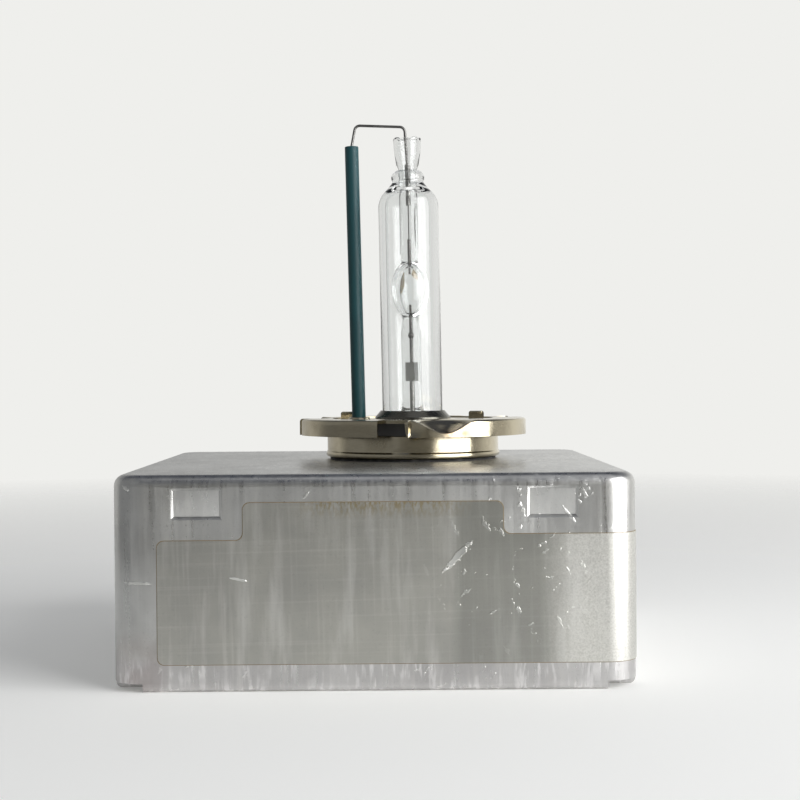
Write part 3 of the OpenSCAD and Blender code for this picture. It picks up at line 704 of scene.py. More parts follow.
def moulded_rubber(name, code):
    """Moulded silicone rubber: matte, with a dusty bloom."""
    base = linear(code)
    material, tree, shader, place = start(name, base, 0.75)
    dust = speckle(tree, place, 1.2, 4.0)
    dusty = tint(tree, spread(tree, dust, 0.5, 0.75, 0.0, 0.3), base, linear("#8A8684"))
    feed(shader, "Base Color", dusty)
    feed(shader, "Normal", relief(tree, dust, 0.015))
    return material


def enamelled_copper(name, code, turns):
    """Enamelled copper wire, wound: ridges one wire apart across the winding's axis."""
    base = linear(code)
    material, tree, shader, place = start(name, base, 0.3, 0.85)
    wires = add(
        tree, "ShaderNodeTexWave", {"Vector": place, "Scale": per_mm(turns) / 3.2},
        bands_direction="Z", wave_profile="SIN",
    ).outputs["Fac"]
    grooved = tint(tree, spread(tree, wires, 0.0, 0.45, 0.8, 0.0), base, linear("#4A1E0A"))
    feed(shader, "Base Color", grooved)
    feed(shader, "Roughness", spread(tree, wires, 0.0, 1.0, 0.42, 0.26))
    feed(shader, "Normal", relief(tree, wires, turns * 0.3))
    return material


def solder_mask(name, code):
    """Glass-cloth laminate under green solder mask: the weave shows through the gloss."""
    base = linear(code)
    material, tree, shader, place = start(name, base, 0.3, **{"Coat Weight": 0.3})
    thread = {"Vector": place, "Scale": per_mm(0.5) / 6.4}
    warp, weft = [
        add(tree, "ShaderNodeTexWave", thread, bands_direction=way).outputs["Fac"] for way in "XY"
    ]
    cloth = times(tree, warp, weft)
    woven = tint(tree, spread(tree, cloth, 0.2, 0.9, 0.0, 0.35), base, linear("#3C7A4E"))
    feed(shader, "Base Color", woven)
    feed(shader, "Roughness", spread(tree, cloth, 0.0, 1.0, 0.24, 0.36))
    feed(shader, "Normal", relief(tree, cloth, 0.01))
    return material


def halide_film(name):
    """Metal halides condensed on the wall: a thin, tan, crystalline film."""
    material, tree, shader, place = start(name, linear("#D2BB8C"), 0.55, **{"Alpha": 0.6})
    grain = speckle(tree, place, 0.12, 4.0)
    crystals = tint(tree, spread(tree, grain, 0.4, 0.65), linear("#CBB07A"), linear("#E2CFB4"))
    feed(shader, "Base Color", crystals)
    feed(shader, "Normal", relief(tree, grain, 0.02))
    return material


# ---------- pieces: housing ----------


class LAMP_OT_housing_can(bpy.types.Operator):
    """Draws the can: rounded walls and deck, pressed pockets, openings and folded hems"""

    bl_idname = "lamp.housing_can"
    bl_label = "Housing Can"

    def execute(self, context):
        size = in_mm(context.scene.lamp_housing)
        low, high = node_box("housing_can")
        middle = (low + high) / 2
        corner_z = low.z + size.hem_drop
        bm = bmesh.new()
        box_into(bm, (low.x, low.y, corner_z), high)
        upright = [e for e in bm.edges if abs(e.verts[0].co.z - e.verts[1].co.z) > 1]
        round_edges(bm, upright, size.corner, 10)
        bm.normal_update()
        deck = facing(bm, UP)
        round_edges(bm, [e for f in deck for e in f.edges], size.edge, 6)
        bm.normal_update()
        bmesh.ops.delete(bm, geom=facing(bm, -UP), context="FACES_ONLY")
        self.press_pockets(bm, size, middle, high)
        self.open_socket(bm, size)
        self.open_deck(bm, size)
        tidy(bm)
        thicken(bm, size.sheet)
        self.fold_hems(bm, size, low, high)
        # Bright oval marks on the can's front. The second is no dent but a painted highlight at the top-left
        # corner, under the deck edge.
        oval_marks = [
            (Vector((low.x + 3.4, low.y, high.z - 13.4)), 3.4, 0.35, 0.05),
            (Vector((low.x + 2.0, low.y, high.z - 1.6)), 1.2, 0.5, 0.6),
            (Vector((middle.x + 24.2, low.y, high.z - 5.2)), 2.6, 0.4, 0.9),
            (Vector((middle.x - 8.5, low.y, high.z - 2.6)), 1.1, 0.25, -0.9),
        ]
        material, tree, shader, place = worn_aluminium(
            "drawn_aluminium", tuple(context.scene.lamp_finish.aluminium), oval_marks,
            [
                (Vector((middle.x + 21, low.y, high.z - 6)), 10),
                (Vector((middle.x + 12, low.y, low.z + 2)), 15),
                (Vector((low.x + 12, low.y, low.z + 2)), 9),
            ],
            Vector((low.x + 3, low.y, low.z + 3)), 0.2,
        )
        scuffed_height = 4.6
        scuff_hem(tree, shader, place, low.z, scuffed_height)
        put(bm, "can_shell", material, "can_aluminium", "housing_can")
        return {"FINISHED"}

    def press_pockets(self, bm, size, middle, high):
        for side in (-1, 1):
            at = middle.x + side * size.pocket_out
            for x in (at - size.pocket_width / 2, at + size.pocket_width / 2):
                cut_at(bm, facing(bm, FRONT), (x, 0, 0), (1, 0, 0))
                bm.normal_update()
            for drop in (size.pocket_top, size.pocket_bottom):
                column = [
                    f for f in facing(bm, FRONT)
                    if abs(f.calc_center_median().x - at) < size.pocket_width / 2
                ]
                cut_at(bm, column, (0, 0, high.z - drop), (0, 0, 1))
                bm.normal_update()
        floor = (size.pocket_top + size.pocket_bottom) / 2
        pockets = [
            f for f in facing(bm, FRONT)
            if abs(abs(f.calc_center_median().x - middle.x) - size.pocket_out) < 1
            and abs(high.z - f.calc_center_median().z - floor) < 1
        ]
        for share in (0.4, 0.6):
            bmesh.ops.inset_individual(
                bm, faces=pockets, thickness=0.2, depth=-size.pocket_depth * share,
                use_even_offset=True,
            )
        # The top of each pocket runs out level with the wall.
        front = min(v.co.y for v in bm.verts)
        for v in bm.verts:
            if front < v.co.y < front + 1 and v.co.z > high.z - size.pocket_top - 0.5:
                if abs(abs(v.co.x - middle.x) - size.pocket_out) < size.pocket_width / 2:
                    v.co.y = front

    def open_socket(self, bm, size):
        socket_low, socket_high = node_box("connector_body")
        x = (socket_low.x + socket_high.x) / 2
        z = (socket_low.z + socket_high.z) / 2
        for side in (-1, 1):
            cut_at(bm, facing(bm, -FRONT), (x + side * size.socket_width / 2, 0, 0), (1, 0, 0))
            bm.normal_update()
        for side in (-1, 1):
            column = [
                f for f in facing(bm, -FRONT)
                if abs(f.calc_center_median().x - x) < size.socket_width / 2
            ]
            cut_at(bm, column, (0, 0, z + side * size.socket_height / 2), (0, 0, 1))
            bm.normal_update()
        opening = [
            f for f in facing(bm, -FRONT)
            if (f.calc_center_median() - Vector((x, f.calc_center_median().y, z))).length < 1
        ]
        bmesh.ops.delete(bm, geom=opening, context="FACES_ONLY")

    def open_deck(self, bm, size):
        deck = facing(bm, UP)
        top = deck[0].calc_center_median().z
        edge = [e for f in deck for e in f.edges]
        bmesh.ops.delete(bm, geom=deck, context="FACES_ONLY")
        ring = bmesh.ops.create_circle(
            bm, segments=len(edge), radius=size.deck_hole, matrix=Matrix.Translation((0, 0, top))
        )["verts"]
        hole = once(e for v in ring for e in v.link_edges)
        bmesh.ops.bridge_loops(bm, edges=edge + hole)

    def fold_hems(self, bm, size, low, high):
        """Adds the four folded strips that hold the base plate."""
        fold_round = size.sheet * 0.8
        for side in (FRONT, -FRONT, Vector((1, 0, 0)), Vector((-1, 0, 0))):
            strip = bmesh.new()
            rise = low.z + size.hem_drop + 0.4
            outline_face(
                strip,
                [
                    (-size.hem_length / 2, y, z)
                    for y, z in (
                        (0, rise), (0, low.z), (size.hem_fold, low.z),
                        (size.hem_fold, low.z + size.sheet),
                        (size.sheet, low.z + size.sheet), (size.sheet, rise),
                    )
                ],
                [(1, fold_round), (4, 0.2)],
            )
            out = bmesh.ops.extrude_face_region(strip, geom=strip.faces[:])["geom"]
            moved = [v for v in out if isinstance(v, bmesh.types.BMVert)]
            bmesh.ops.translate(strip, vec=(size.hem_length, 0, 0), verts=moved)
            tidy(strip)
            middle = (low + high) / 2
            half = (high.x - low.x) / 2 - 0.02
            turn = Matrix.Rotation(FRONT.to_2d().angle_signed(side.to_2d()) * -1, 4, "Z")
            place = Matrix.Translation((middle.x, middle.y, 0)) @ turn
            bmesh.ops.transform(
                strip, matrix=place @ Matrix.Translation((0, -half, 0)), verts=strip.verts
            )
            join(bm, strip)


class LAMP_OT_rating_label(bpy.types.Operator):
    """Cuts the blank foil label and carries it round the right-hand corner"""

    bl_idname = "lamp.rating_label"
    bl_label = "Rating Label"

    def execute(self, context):
        size = in_mm(context.scene.lamp_label)
        finish = context.scene.lamp_finish
        low, high = node_box("rating_label")
        oval_marks = [
            (Vector((4.9, low.y, high.z - 6.8)), 4.8, 0.8, -0.82),
            (Vector((low.x + 10, low.y, high.z - 9.5)), 2.4, 0.3, 0.2),
        ]
        foil = glued_foil(
            "wiped_aluminium_foil", tuple(finish.foil), oval_marks,
            [(Vector((11.5, low.y, high.z - 9)), 12)], Vector((low.x, low.y, low.z - 30)), high.z,
        )
        glue = moulded_plastic("dried_glue", "#85775E", 0.6)
        label = self.wrapped_sheet(context, size, size.thickness, 0)
        put(label, "blank_label", foil, "foil_label", "rating_label", crease=30)
        squeezed = self.wrapped_sheet(context, size, size.thickness / 2, size.glue_edge)
        put(squeezed, "label_glue", glue, "foil_label", crease=30)
        return {"FINISHED"}

    def wrapped_sheet(self, context, size, thickness, grow):
        """The label's outline, grown all round, cut from a sheet and bent round the corner."""
        radius = in_mm(context.scene.lamp_housing).corner
        can_low, can_high = node_box("housing_can")
        low, high = node_box("rating_label")
        bottom, top = low.z - grow, high.z + grow
        middle = (can_low.x + can_high.x) / 2
        deck = can_high.z
        bend = can_high.x - radius - middle
        quarter = radius * math.pi / 2
        end = bend + quarter + (high.y - can_low.y - radius)
        bm = bmesh.new()
        left, right = -size.step_left - grow, size.step_right + grow
        edge = -size.left - grow
        right_top = deck - size.shoulder_right + grow
        left_top = deck - size.shoulder_left + grow
        points = [
            (edge, bottom), (end, bottom), (end, right_top), (right, right_top),
            (right, top), (left, top), (left, left_top), (edge, left_top),
        ]
        rounds = [(number, size.corner) for number in range(len(points))]
        outline_face(bm, [(x, 0, z) for x, z in points], rounds)
        for i in range(9):
            cut_at(bm, bm.faces[:], (bend + quarter * i / 8, 0, 0), (1, 0, 0))
        tidy(bm)
        if bm.faces[0].normal.y > 0:
            bmesh.ops.reverse_faces(bm, faces=bm.faces[:])
        skin = list(bm.faces)
        raised = bmesh.ops.extrude_face_region(bm, geom=skin)["geom"]
        for v in raised:
            if isinstance(v, bmesh.types.BMVert):
                v.co.y -= thickness
        for v in bm.verts:
            v.co = self.wrapped(v.co, middle, can_low.y, bend, quarter, radius)
        tidy(bm)
        return bm

    def wrapped(self, flat, middle, front, bend, quarter, radius):
        """Where a point of the flat label lies once it is round the corner."""
        lift = -flat.y
        past = flat.x - bend
        if past <= 0:
            return Vector((middle + flat.x, front - lift, flat.z))
        if past >= quarter:
            return Vector((middle + bend + radius + lift, front + radius + past - quarter, flat.z))
        angle = past / radius
        reach = radius + lift
        return Vector((
            middle + bend + reach * math.sin(angle),
            front + radius - reach * math.cos(angle),
            flat.z,
        ))


class LAMP_OT_base_plate(bpy.types.Operator):
    """Presses the base plate, with its middle pushed down level with the hems"""

    bl_idname = "lamp.base_plate"
    bl_label = "Base Plate"

    def execute(self, context):
        low, high = node_box("base_plate")
        size = in_mm(context.scene.lamp_housing)
        middle = (low + high) / 2
        rise = high.z - low.z
        slope = 2.4
        flat = size.dish - slope
        rim = flat - (high.x - low.x)
        bm = bmesh.new()
        # From the pressed middle's lower face out to the rim, up, and back in over the top.
        stepped_block(
            bm, Matrix.Translation((middle.x, middle.y, low.z)), flat, flat, 2.3,
            [
                (-slope, -slope, rise - size.plate), (rim, rim, rise - size.plate),
                (rim, rim, rise), (-slope, -slope, rise), (0, 0, size.plate),
            ],
        )
        tidy(bm)
        material = rolled_metal("rolled_aluminium", "#A3A4A4", 0.4)
        put(bm, "pressed_base_plate", material, "plate_aluminium", "base_plate")
        return {"FINISHED"}


class LAMP_OT_supply_socket(bpy.types.Operator):
    """Moulds the supply socket in the back wall, with its flange and cavity"""

    bl_idname = "lamp.supply_socket"
    bl_label = "Supply Socket"

    def execute(self, context):
        size = in_mm(context.scene.lamp_housing)
        low, high = node_box("connector_body")
        x, z = (low.x + high.x) / 2, (low.z + high.z) / 2
        lip = 0.3
        walls = size.socket_wall * 2
        long = high.y - low.y
        front_of_flange = long - size.sheet - 0.8
        back_of_flange = front_of_flange - 1.5
        wide, tall = size.socket_width - (high.x - low.x), size.socket_height - (high.z - low.z)
        bm = bmesh.new()
        # Grown along +y: the nose, its flange inside the can, the lip and the cavity.
        stepped_block(
            bm, Matrix.Translation((x, low.y, z)) @ Matrix.Rotation(-math.pi / 2, 4, "X"),
            size.socket_width, size.socket_height, 0.8,
            [
                (0, 0, back_of_flange), (wide, tall, back_of_flange),
                (wide, tall, front_of_flange), (0, 0, front_of_flange),
                (0, 0, long - lip), (lip, lip, long), (walls - lip, walls - lip, long),
                (walls, walls, long - lip), (walls, walls, long - size.socket_depth),
            ],
        )
        tidy(bm)
        material = moulded_plastic("glass_filled_black_plastic", "#17181A", 0.45)
        put(bm, "supply_socket", material, "dark_plastic", "connector_body")
        return {"FINISHED"}


# ---------- pieces: cap ----------


class LAMP_OT_cap_ring(bpy.types.Operator):
    """Presses the bayonet ring: turned-down rim, slots, valleys, tabs and the key notch"""

    bl_idname = "lamp.cap_ring"
    bl_label = "Cap Ring"

    def execute(self, context):
        size = in_mm(context.scene.lamp_cap)
        low, high = node_box("cap_ring")
        outer = (high.x - low.x) / 2
        bend = size.rim_round
        bm = bmesh.new()
        # Rings across the flat, close enough together to carry the valleys and the tabs.
        inner_rings, rim_rings = (12.6, 13.3, 14.0), (15.0, 15.6, 16.1)
        rings = [size.bore, *inner_rings, outer - size.slot_depth, *rim_rings]
        profile = [(r, high.z) for r in rings]
        for i in range(6):
            angle = math.pi / 2 * i / 5
            across, up = bend * math.sin(angle), bend * math.cos(angle)
            profile.append((outer - bend + across, high.z - bend + up))
        drop = high.z - bend - low.z
        profile += [(outer, high.z - bend - drop * i / 6) for i in range(1, 7)]
        line = [bm.verts.new((0, -r, z)) for r, z in profile]
        edges = [bm.edges.new(pair) for pair in zip(line, line[1:])]
        bmesh.ops.spin(
            bm, geom=line + edges, cent=(0, 0, 0), axis=UP, dvec=(0, 0, 0),
            angle=FULL_TURN, steps=360, use_merge=True, use_duplicate=False,
        )
        bmesh.ops.remove_doubles(bm, verts=bm.verts, dist=WELD)
        gone = [f for f in bm.faces if self.is_cut(f.calc_center_median(), size, outer)]
        bmesh.ops.delete(bm, geom=gone, context="FACES")
        for v in bm.verts:
            v.co = self.pressed(v.co, size, outer, low.z)
        bmesh.ops.recalc_face_normals(bm, faces=bm.faces)
        bm.normal_update()
        if sum(f.normal.z * f.calc_area() for f in bm.faces) < 0:
            bmesh.ops.reverse_faces(bm, faces=bm.faces[:])
        thicken(bm, size.sheet)
        spots = [
            Matrix.Rotation(FULL_TURN * i / size.repeats + size.valley_at + math.radians(6), 3, "Z")
            @ Vector((0, -outer, high.z - 1.4))
            for i in range(size.repeats)
        ]
        material = nickel_plate("nickel_plated_steel", tuple(context.scene.lamp_finish.nickel), spots)
        put(bm, "pressed_cap_ring", material, "nickel_plate", "cap_ring", crease=40, restart=True)
        return {"FINISHED"}

    def angle_of(self, point):
        """A point's angle to the right of the front."""
        return math.atan2(point.x, -point.y)

    def in_repeat(self, angle, size):
        """The angle within the repeat that starts at the front slot."""
        step = FULL_TURN / size.repeats
        return (angle + step / 2) % step - step / 2

    def is_cut(self, point, size, outer):
        angle = self.angle_of(point)
        radius = math.hypot(point.x, point.y)
        local = self.in_repeat(angle, size)
        in_slot = size.slot_from < local < size.slot_to and radius > outer - size.slot_depth
        in_notch = abs(angle - size.notch_at) < size.notch_half and radius > outer - 1.2
        return in_slot or in_notch

    def pressed(self, point, size, outer, bottom):
        """Moves a point of the plain ring to where the press leaves it."""
        local = self.in_repeat(self.angle_of(point), size)
        radius = math.hypot(point.x, point.y)
        off = (local - size.valley_at) / size.valley_half
        if abs(off) < 1:
            inward = max(0.0, min(1.0, (radius - size.bore - 0.5) / 3.2))
            ramp = inward * inward * (3 - 2 * inward)
            dip = size.valley_depth * ramp * (0.5 + 0.5 * math.cos(math.pi * off)) ** 0.8
            point = Vector((point.x, point.y, min(point.z, max(bottom + 0.02, -dip))))
        tab = local - size.slot_to
        if 0 < tab < size.tab_width and radius > outer - size.slot_depth:
            near = 1 - tab / size.tab_width
            raised = max(0.0, min(1.0, (point.z - bottom) / -bottom))
            inside = (radius - outer + size.slot_depth) / size.slot_depth
            pull = 1 - size.tab_in * near * raised * inside / radius
            point = Vector((point.x * pull, point.y * pull, point.z))
        return point


class LAMP_OT_base_cup(bpy.types.Operator):
    """Draws the cup under the ring, with a rolled bead at its foot"""

    bl_idname = "lamp.base_cup"
    bl_label = "Base Cup"

    def execute(self, context):
        low, high = node_box("base_cup")
        radius = (high.x - low.x) / 2
        inner = in_mm(context.scene.lamp_housing).deck_hole
        wall = radius - 0.18
        section = [
            (inner, low.z), (radius - 0.7, low.z), (radius, low.z + 0.25), (radius, low.z + 0.8),
            (wall, low.z + 1.05), (wall, low.z + 3.4),
            (wall - 0.45, low.z + 3.4), (wall - 0.45, low.z + 0.5), (inner, low.z + 0.5),
        ]
        bm = lathe(section, [(1, 0.3), (2, 0.25), (3, 0.2), (4, 0.12), (5, 0.15), (7, 0.3)], 144)
        material = nickel_plate("nickel_plated_cup", tuple(context.scene.lamp_finish.nickel))
        put(bm, "drawn_base_cup", material, "nickel_plate", "base_cup", crease=30)
        return {"FINISHED"}


class LAMP_OT_burner_clamp(bpy.types.Operator):
    """Turns the collar at the jacket's foot and stamps the plate with its two lugs"""

    bl_idname = "lamp.burner_clamp"
    bl_label = "Burner Clamp"

    def execute(self, context):
        size = in_mm(context.scene.lamp_cap)
        burner = in_mm(context.scene.lamp_burner)
        low, high = node_box("burner_collar")
        bore = burner.jacket_radius
        bm = lathe(
            [
                (bore, low.z), (size.collar_foot, low.z), (size.collar_foot, 0.12),
                (size.collar_top + 0.1, high.z - 0.25), (size.collar_top - 0.1, high.z),
                (bore, high.z),
            ],
            [(2, 0.15), (3, 0.2), (5, 0.1)],
        )
        # Turned steel, its colour darkened far below steel's: a painted dark reflection over the collar.
        material = rolled_metal("turned_steel_painted_dark", "#6A6860", 0.24)
        put(bm, "turned_collar", material, "collar_steel", "burner_collar", crease=30)
        self.stamp_plate(context, size)
        return {"FINISHED"}

    def stamp_plate(self, context, size):
        low, high = node_box("burner_clamp_plate")
        top = low.z + 0.4
        reach = (high.x - low.x) / 2
        tube_radius = 1.0
        tube_x = node_box("insulating_tube")[1].x - tube_radius
        bm = lathe(
            [
                (size.collar_foot, low.z), (reach, low.z), (reach, top),
                (size.collar_foot + 0.9, top), (size.collar_foot + 0.5, top + 0.12),
                (size.collar_foot, top + 0.12),
            ],
            [(2, 0.12), (3, 0.1), (4, 0.1)],
        )
        boss = lathe([(1.05, top), (1.75, top), (1.55, top + 0.35), (1.05, top + 0.35)], [(2, 0.12)], 48)
        bmesh.ops.translate(boss, vec=(tube_x, 0, 0), verts=boss.verts)
        join(bm, boss)
        for side in (-1, 1):
            lug = bmesh.new()
            x = side * size.lug_out
            left, right = x - size.lug_width / 2, x + size.lug_width / 2
            back = size.lug_back
            box_into(lug, (left, back, low.z), (right, back + 0.4, high.z))
            ears = [
                e for e in lug.edges
                if all(v.co.z > top for v in e.verts) and abs(e.verts[0].co.y - e.verts[1].co.y) > 0.2
            ]
            round_edges(lug, ears, 0.35, 4)
            # The top folds a little towards the lamp axis.
            lip = box_into(
                lug, (left + 0.3, back - 0.5, high.z - 0.4), (right - 0.3, back + 0.1, high.z - 0.05)
            )
            round_edges(lug, once(e for v in lip for e in v.link_edges), 0.08, 2)
            bmesh.ops.recalc_face_normals(lug, faces=lug.faces)
            join(bm, lug)
        material = nickel_plate("nickel_plated_clamp", tuple(context.scene.lamp_finish.nickel))
        put(bm, "stamped_clamp_plate", material, "nickel_plate", "burner_clamp_plate", crease=30)


# ---------- pieces: burner ----------


class LAMP_OT_glass_jacket(bpy.types.Operator):
    """Blows the glass jacket: foot, straight wall, cone shoulder and fused neck"""

    bl_idname = "lamp.glass_jacket"
    bl_label = "Glass Jacket"

    def execute(self, context):
        size = in_mm(context.scene.lamp_burner)
        outer, inner = size.jacket_radius, size.jacket_radius - size.jacket_wall
        neck = size.shoulder + 2.5
        top = neck + 1.7
        foot = -0.5
        section = [
            (size.lower_stem, foot), (outer - 0.15, foot), (outer, foot + 0.4), (outer, size.shoulder),
            (size.neck_radius - 0.25, neck), (size.neck_radius, neck + 0.5),
            (size.neck_radius - 0.05, top - 0.5), (size.neck_radius - 0.7, top),
            (size.stem_radius, top + 0.1), (size.stem_radius, neck - 1.2),
            (inner - 0.6, neck - 1.9), (inner, size.shoulder - 0.6), (inner, 0.5), (size.lower_stem, 0.3),
        ]
        rounds = [(3, 1.2), (4, 0.35), (5, 0.3), (6, 0.4), (9, 0.3), (10, 0.7), (11, 0.8)]
        bm = lathe(section, rounds, 128)
        leaning(bm, size.lean)
        material = fused_quartz("fused_quartz_jacket")
        put(bm, "glass_jacket", material, "jacket_quartz", "outer_bulb", crease=50)
        return {"FINISHED"}


class LAMP_OT_quartz_vessel(bpy.types.Operator):
    """Blows the quartz vessel: stems, bulge, cavity, bubble and the open stub"""

    bl_idname = "lamp.quartz_vessel"
    bl_label = "Quartz Vessel"

    def execute(self, context):
        size = in_mm(context.scene.lamp_burner)
        neck = size.shoulder + 2.5
        stub = neck + 2.2
        tip = stub + 4.5
        stem = size.stem_radius - 0.02
        lower = size.lower_stem - 0.02
        bore = size.stub_radius - size.stub_wall
        arc = size.arc_height
        bulge = [
            p for p in ellipse_arc(size.vessel_radius, size.vessel_half, arc, arc - 4.3, arc + 4.3, 24)
            if p[0] > stem - 0.1
        ]
        first, last = bulge[0][1], bulge[-1][1]
        section = (
            [
                (0, -4), (lower, -4), (lower, 0.2), (1.9, 0.9), (1.7, 1.5), (lower, 2.8),
                (lower, first - 2.4), (lower - 0.25, first - 1.7), (stem - 0.2, first - 0.5),
            ]
            + bulge
            + [
                (stem - 0.2, last + 0.5), (stem, last + 1.6), (stem, stub - 0.3), (stem + 0.32, stub + 0.5),
                (size.stub_radius - 0.12, stub + 2.4), (size.stub_radius, tip),
                (bore, tip), (bore - 0.12, stub + 2.4), (stem + 0.3 - size.stub_wall, stub + 0.7),
                (stem - size.stub_wall, neck + 0.6), (0, neck + 0.3),
            ]
        )
        count = len(section)
        bm = lathe(section, [(count - 6, 0.18), (count - 7, 0.18)], 96)
        self.chip_mouth(bm, tip)
        for hollow in self.hollows(size):
            bmesh.ops.reverse_faces(hollow, faces=hollow.faces[:])
            join(bm, hollow)
        leaning(bm, size.lean)
        material = fused_quartz("fused_quartz_vessel")
        put(bm, "quartz_vessel", material, "vessel_quartz", "discharge_vessel", crease=50)
        return {"FINISHED"}

    def chip_mouth(self, bm, tip):
        """Makes the cut mouth of the stub slightly uneven."""
        for v in bm.verts:
            if v.co.z > tip - 0.4:
                angle = math.atan2(v.co.y, v.co.x)
                v.co.z -= 0.2 + 0.1 * math.sin(3 * angle + 0.6) + 0.08 * math.sin(8 * angle)

    def hollows(self, size):
        """The cavity, and the long bubbles beside the foils in both stems."""
        cavity = self.spindle(size.cavity_radius, size.cavity_half, size.arc_height - 0.2)
        upper = self.spindle(0.3, 3.6, size.arc_height + 9.2)
        bmesh.ops.translate(upper, vec=(0.85, 0, 0), verts=upper.verts)
        lower = self.spindle(0.22, 5.2, size.arc_height - 10.2)
        bmesh.ops.translate(lower, vec=(1.05, 0, 0), verts=lower.verts)
        return cavity, upper, lower

    def spindle(self, radius, half, middle):
        return lathe(ellipse_arc(radius, half, middle, middle - half, middle + half, 24), steps=48)


class LAMP_OT_inner_conductors(bpy.types.Operator):
    """Finishes the electrodes, foils, leads and salts, and adds the lower weld"""

    bl_idname = "lamp.inner_conductors"
    bl_label = "Inner Conductors"

    def execute(self, context):
        size = in_mm(context.scene.lamp_burner)
        tungsten = drawn_wire("drawn_tungsten", "#6E6C6A", 0.4)
        molybdenum = drawn_wire("drawn_molybdenum", "#8C8B88", 0.35)
        foil = rolled_metal("rolled_molybdenum_foil", "#7E7D79", 0.45, 0.12)
        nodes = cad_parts
        for names, material in (
            (("upper_electrode", "lower_electrode"), tungsten),
            (("upper_lead_wire", "lower_lead_wire"), molybdenum),
            (("upper_foil", "lower_foil"), foil),
        ):
            for name in names:
                dress(nodes[name], material)
        salts = bmesh.new()
        for toward, spread_by, low, high in ((-2.6, 0.5, 18.6, 21.6), (-0.9, 0.45, 20.6, 21.9)):
            join(salts, self.salt_patch(size, toward, spread_by, low, high))
        leaning(salts, size.lean)
        film = halide_film("condensed_halides")
        put(salts, "salt_patches", film, "halide_salt", "halide_deposit", restart=True)
        knob = lathe(
            ellipse_arc(0.3, 0.55, size.arc_height - 6.9, size.arc_height - 7.45, size.arc_height - 6.35, 10),
            steps=24,
        )
        leaning(knob, size.lean)
        put(knob, "electrode_weld", tungsten, "tungsten")
        return {"FINISHED"}

    def salt_patch(self, size, toward, spread_by, low, high):
        """A thin film on the cavity's wall, round one direction and between two heights."""
        middle, half, radius = size.arc_height - 0.2, size.cavity_half - 0.02, size.cavity_radius - 0.02
        bm = lathe(ellipse_arc(radius, half, middle, middle - half, middle + half, 48), steps=96)
        gone = []
        for face in bm.faces:
            at = face.calc_center_median()
            off = (math.atan2(at.y, at.x) - toward + math.pi) % FULL_TURN - math.pi
            rise = (2 * at.z - low - high) / (high - low)
            if math.hypot(off / spread_by, rise) > 1:
                gone.append(face)
        bmesh.ops.delete(bm, geom=gone, context="FACES")
        thicken(bm, 0.04)
        return bm


class LAMP_OT_return_wire(bpy.types.Operator):
    """Bends the return wire from the stub over to the tube, and sleeves its joint"""

    bl_idname = "lamp.return_wire"
    bl_label = "Return Wire"

    def execute(self, context):
        size = in_mm(context.scene.lamp_burner)
        low, high = node_box("return_wire")
        tube_low, tube_high = node_box("insulating_tube")
        joint_low, joint_high = node_box("wire_joint_sleeve")
        tube_radius = (tube_high.y - tube_low.y) / 2
        top = high.z - size.wire_radius
        route = [
            Vector(((joint_low.x + joint_high.x) / 2, joint_low.z + 0.8)),
            Vector((-0.94, top - 0.26)),
            Vector((-8.28, top)),
            Vector((tube_low.x + tube_radius, tube_high.z)),
            Vector((tube_high.x - tube_radius, low.z)),
        ]
        bm = self.bent_rod(route, size.wire_radius, size.wire_bend)
        material = drawn_wire("drawn_nickel_wire", "#7C7B79", 0.32)
        put(bm, "bent_return_wire", material, "nickel_wire", "return_wire", crease=60)
        dress(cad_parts["wire_joint_sleeve"], material)
        return {"FINISHED"}

    def bent_rod(self, route, radius, bend, sides=20):
        """A round rod along (x, z) points of the plane y = 0, with round bends."""
        bm = bmesh.new()
        ways = [(b - a).normalized() for a, b in zip(route, route[1:])]
        turns = [a.angle_signed(b) for a, b in zip(ways, ways[1:])]
        cuts = [bend * math.tan(abs(turn) / 2) for turn in turns]
        first = Vector((ways[0].x, 0, ways[0].y))
        turn = first.to_track_quat("Z", "Y").to_matrix().to_4x4()
        at = Matrix.Translation((route[0].x, 0, route[0].y)) @ turn
        ring = bmesh.ops.create_circle(bm, cap_ends=True, segments=sides, radius=radius, matrix=at)["verts"]
        edges = once(e for v in ring for e in v.link_edges)
        for i, way in enumerate(ways):
            run = (route[i + 1] - route[i]).length
            run -= (cuts[i - 1] if i else 0) + (cuts[i] if i < len(cuts) else 0)
            grown = bmesh.ops.extrude_edge_only(bm, edges=edges)["geom"]
            ring = [v for v in grown if isinstance(v, bmesh.types.BMVert)]
            edges = [e for e in grown if isinstance(e, bmesh.types.BMEdge)]
            bmesh.ops.translate(bm, vec=(way.x * run, 0, way.y * run), verts=ring)
            if i == len(turns):
                break
            # angle_signed is positive clockwise seen from the front.
            side = -1 if turns[i] > 0 else 1
            inward = Vector((-way.y, way.x)) * side
            corner = route[i + 1] - way * cuts[i] + inward * bend
            made = bmesh.ops.spin(
                bm, geom=ring + edges, cent=(corner.x, 0, corner.y), axis=(0, -side, 0),
                dvec=(0, 0, 0), angle=abs(turns[i]), steps=10, use_duplicate=False,
            )["geom_last"]
            edges = [e for e in made if isinstance(e, bmesh.types.BMEdge)]
        bmesh.ops.contextual_create(bm, geom=edges)
        tidy(bm)
        return bm


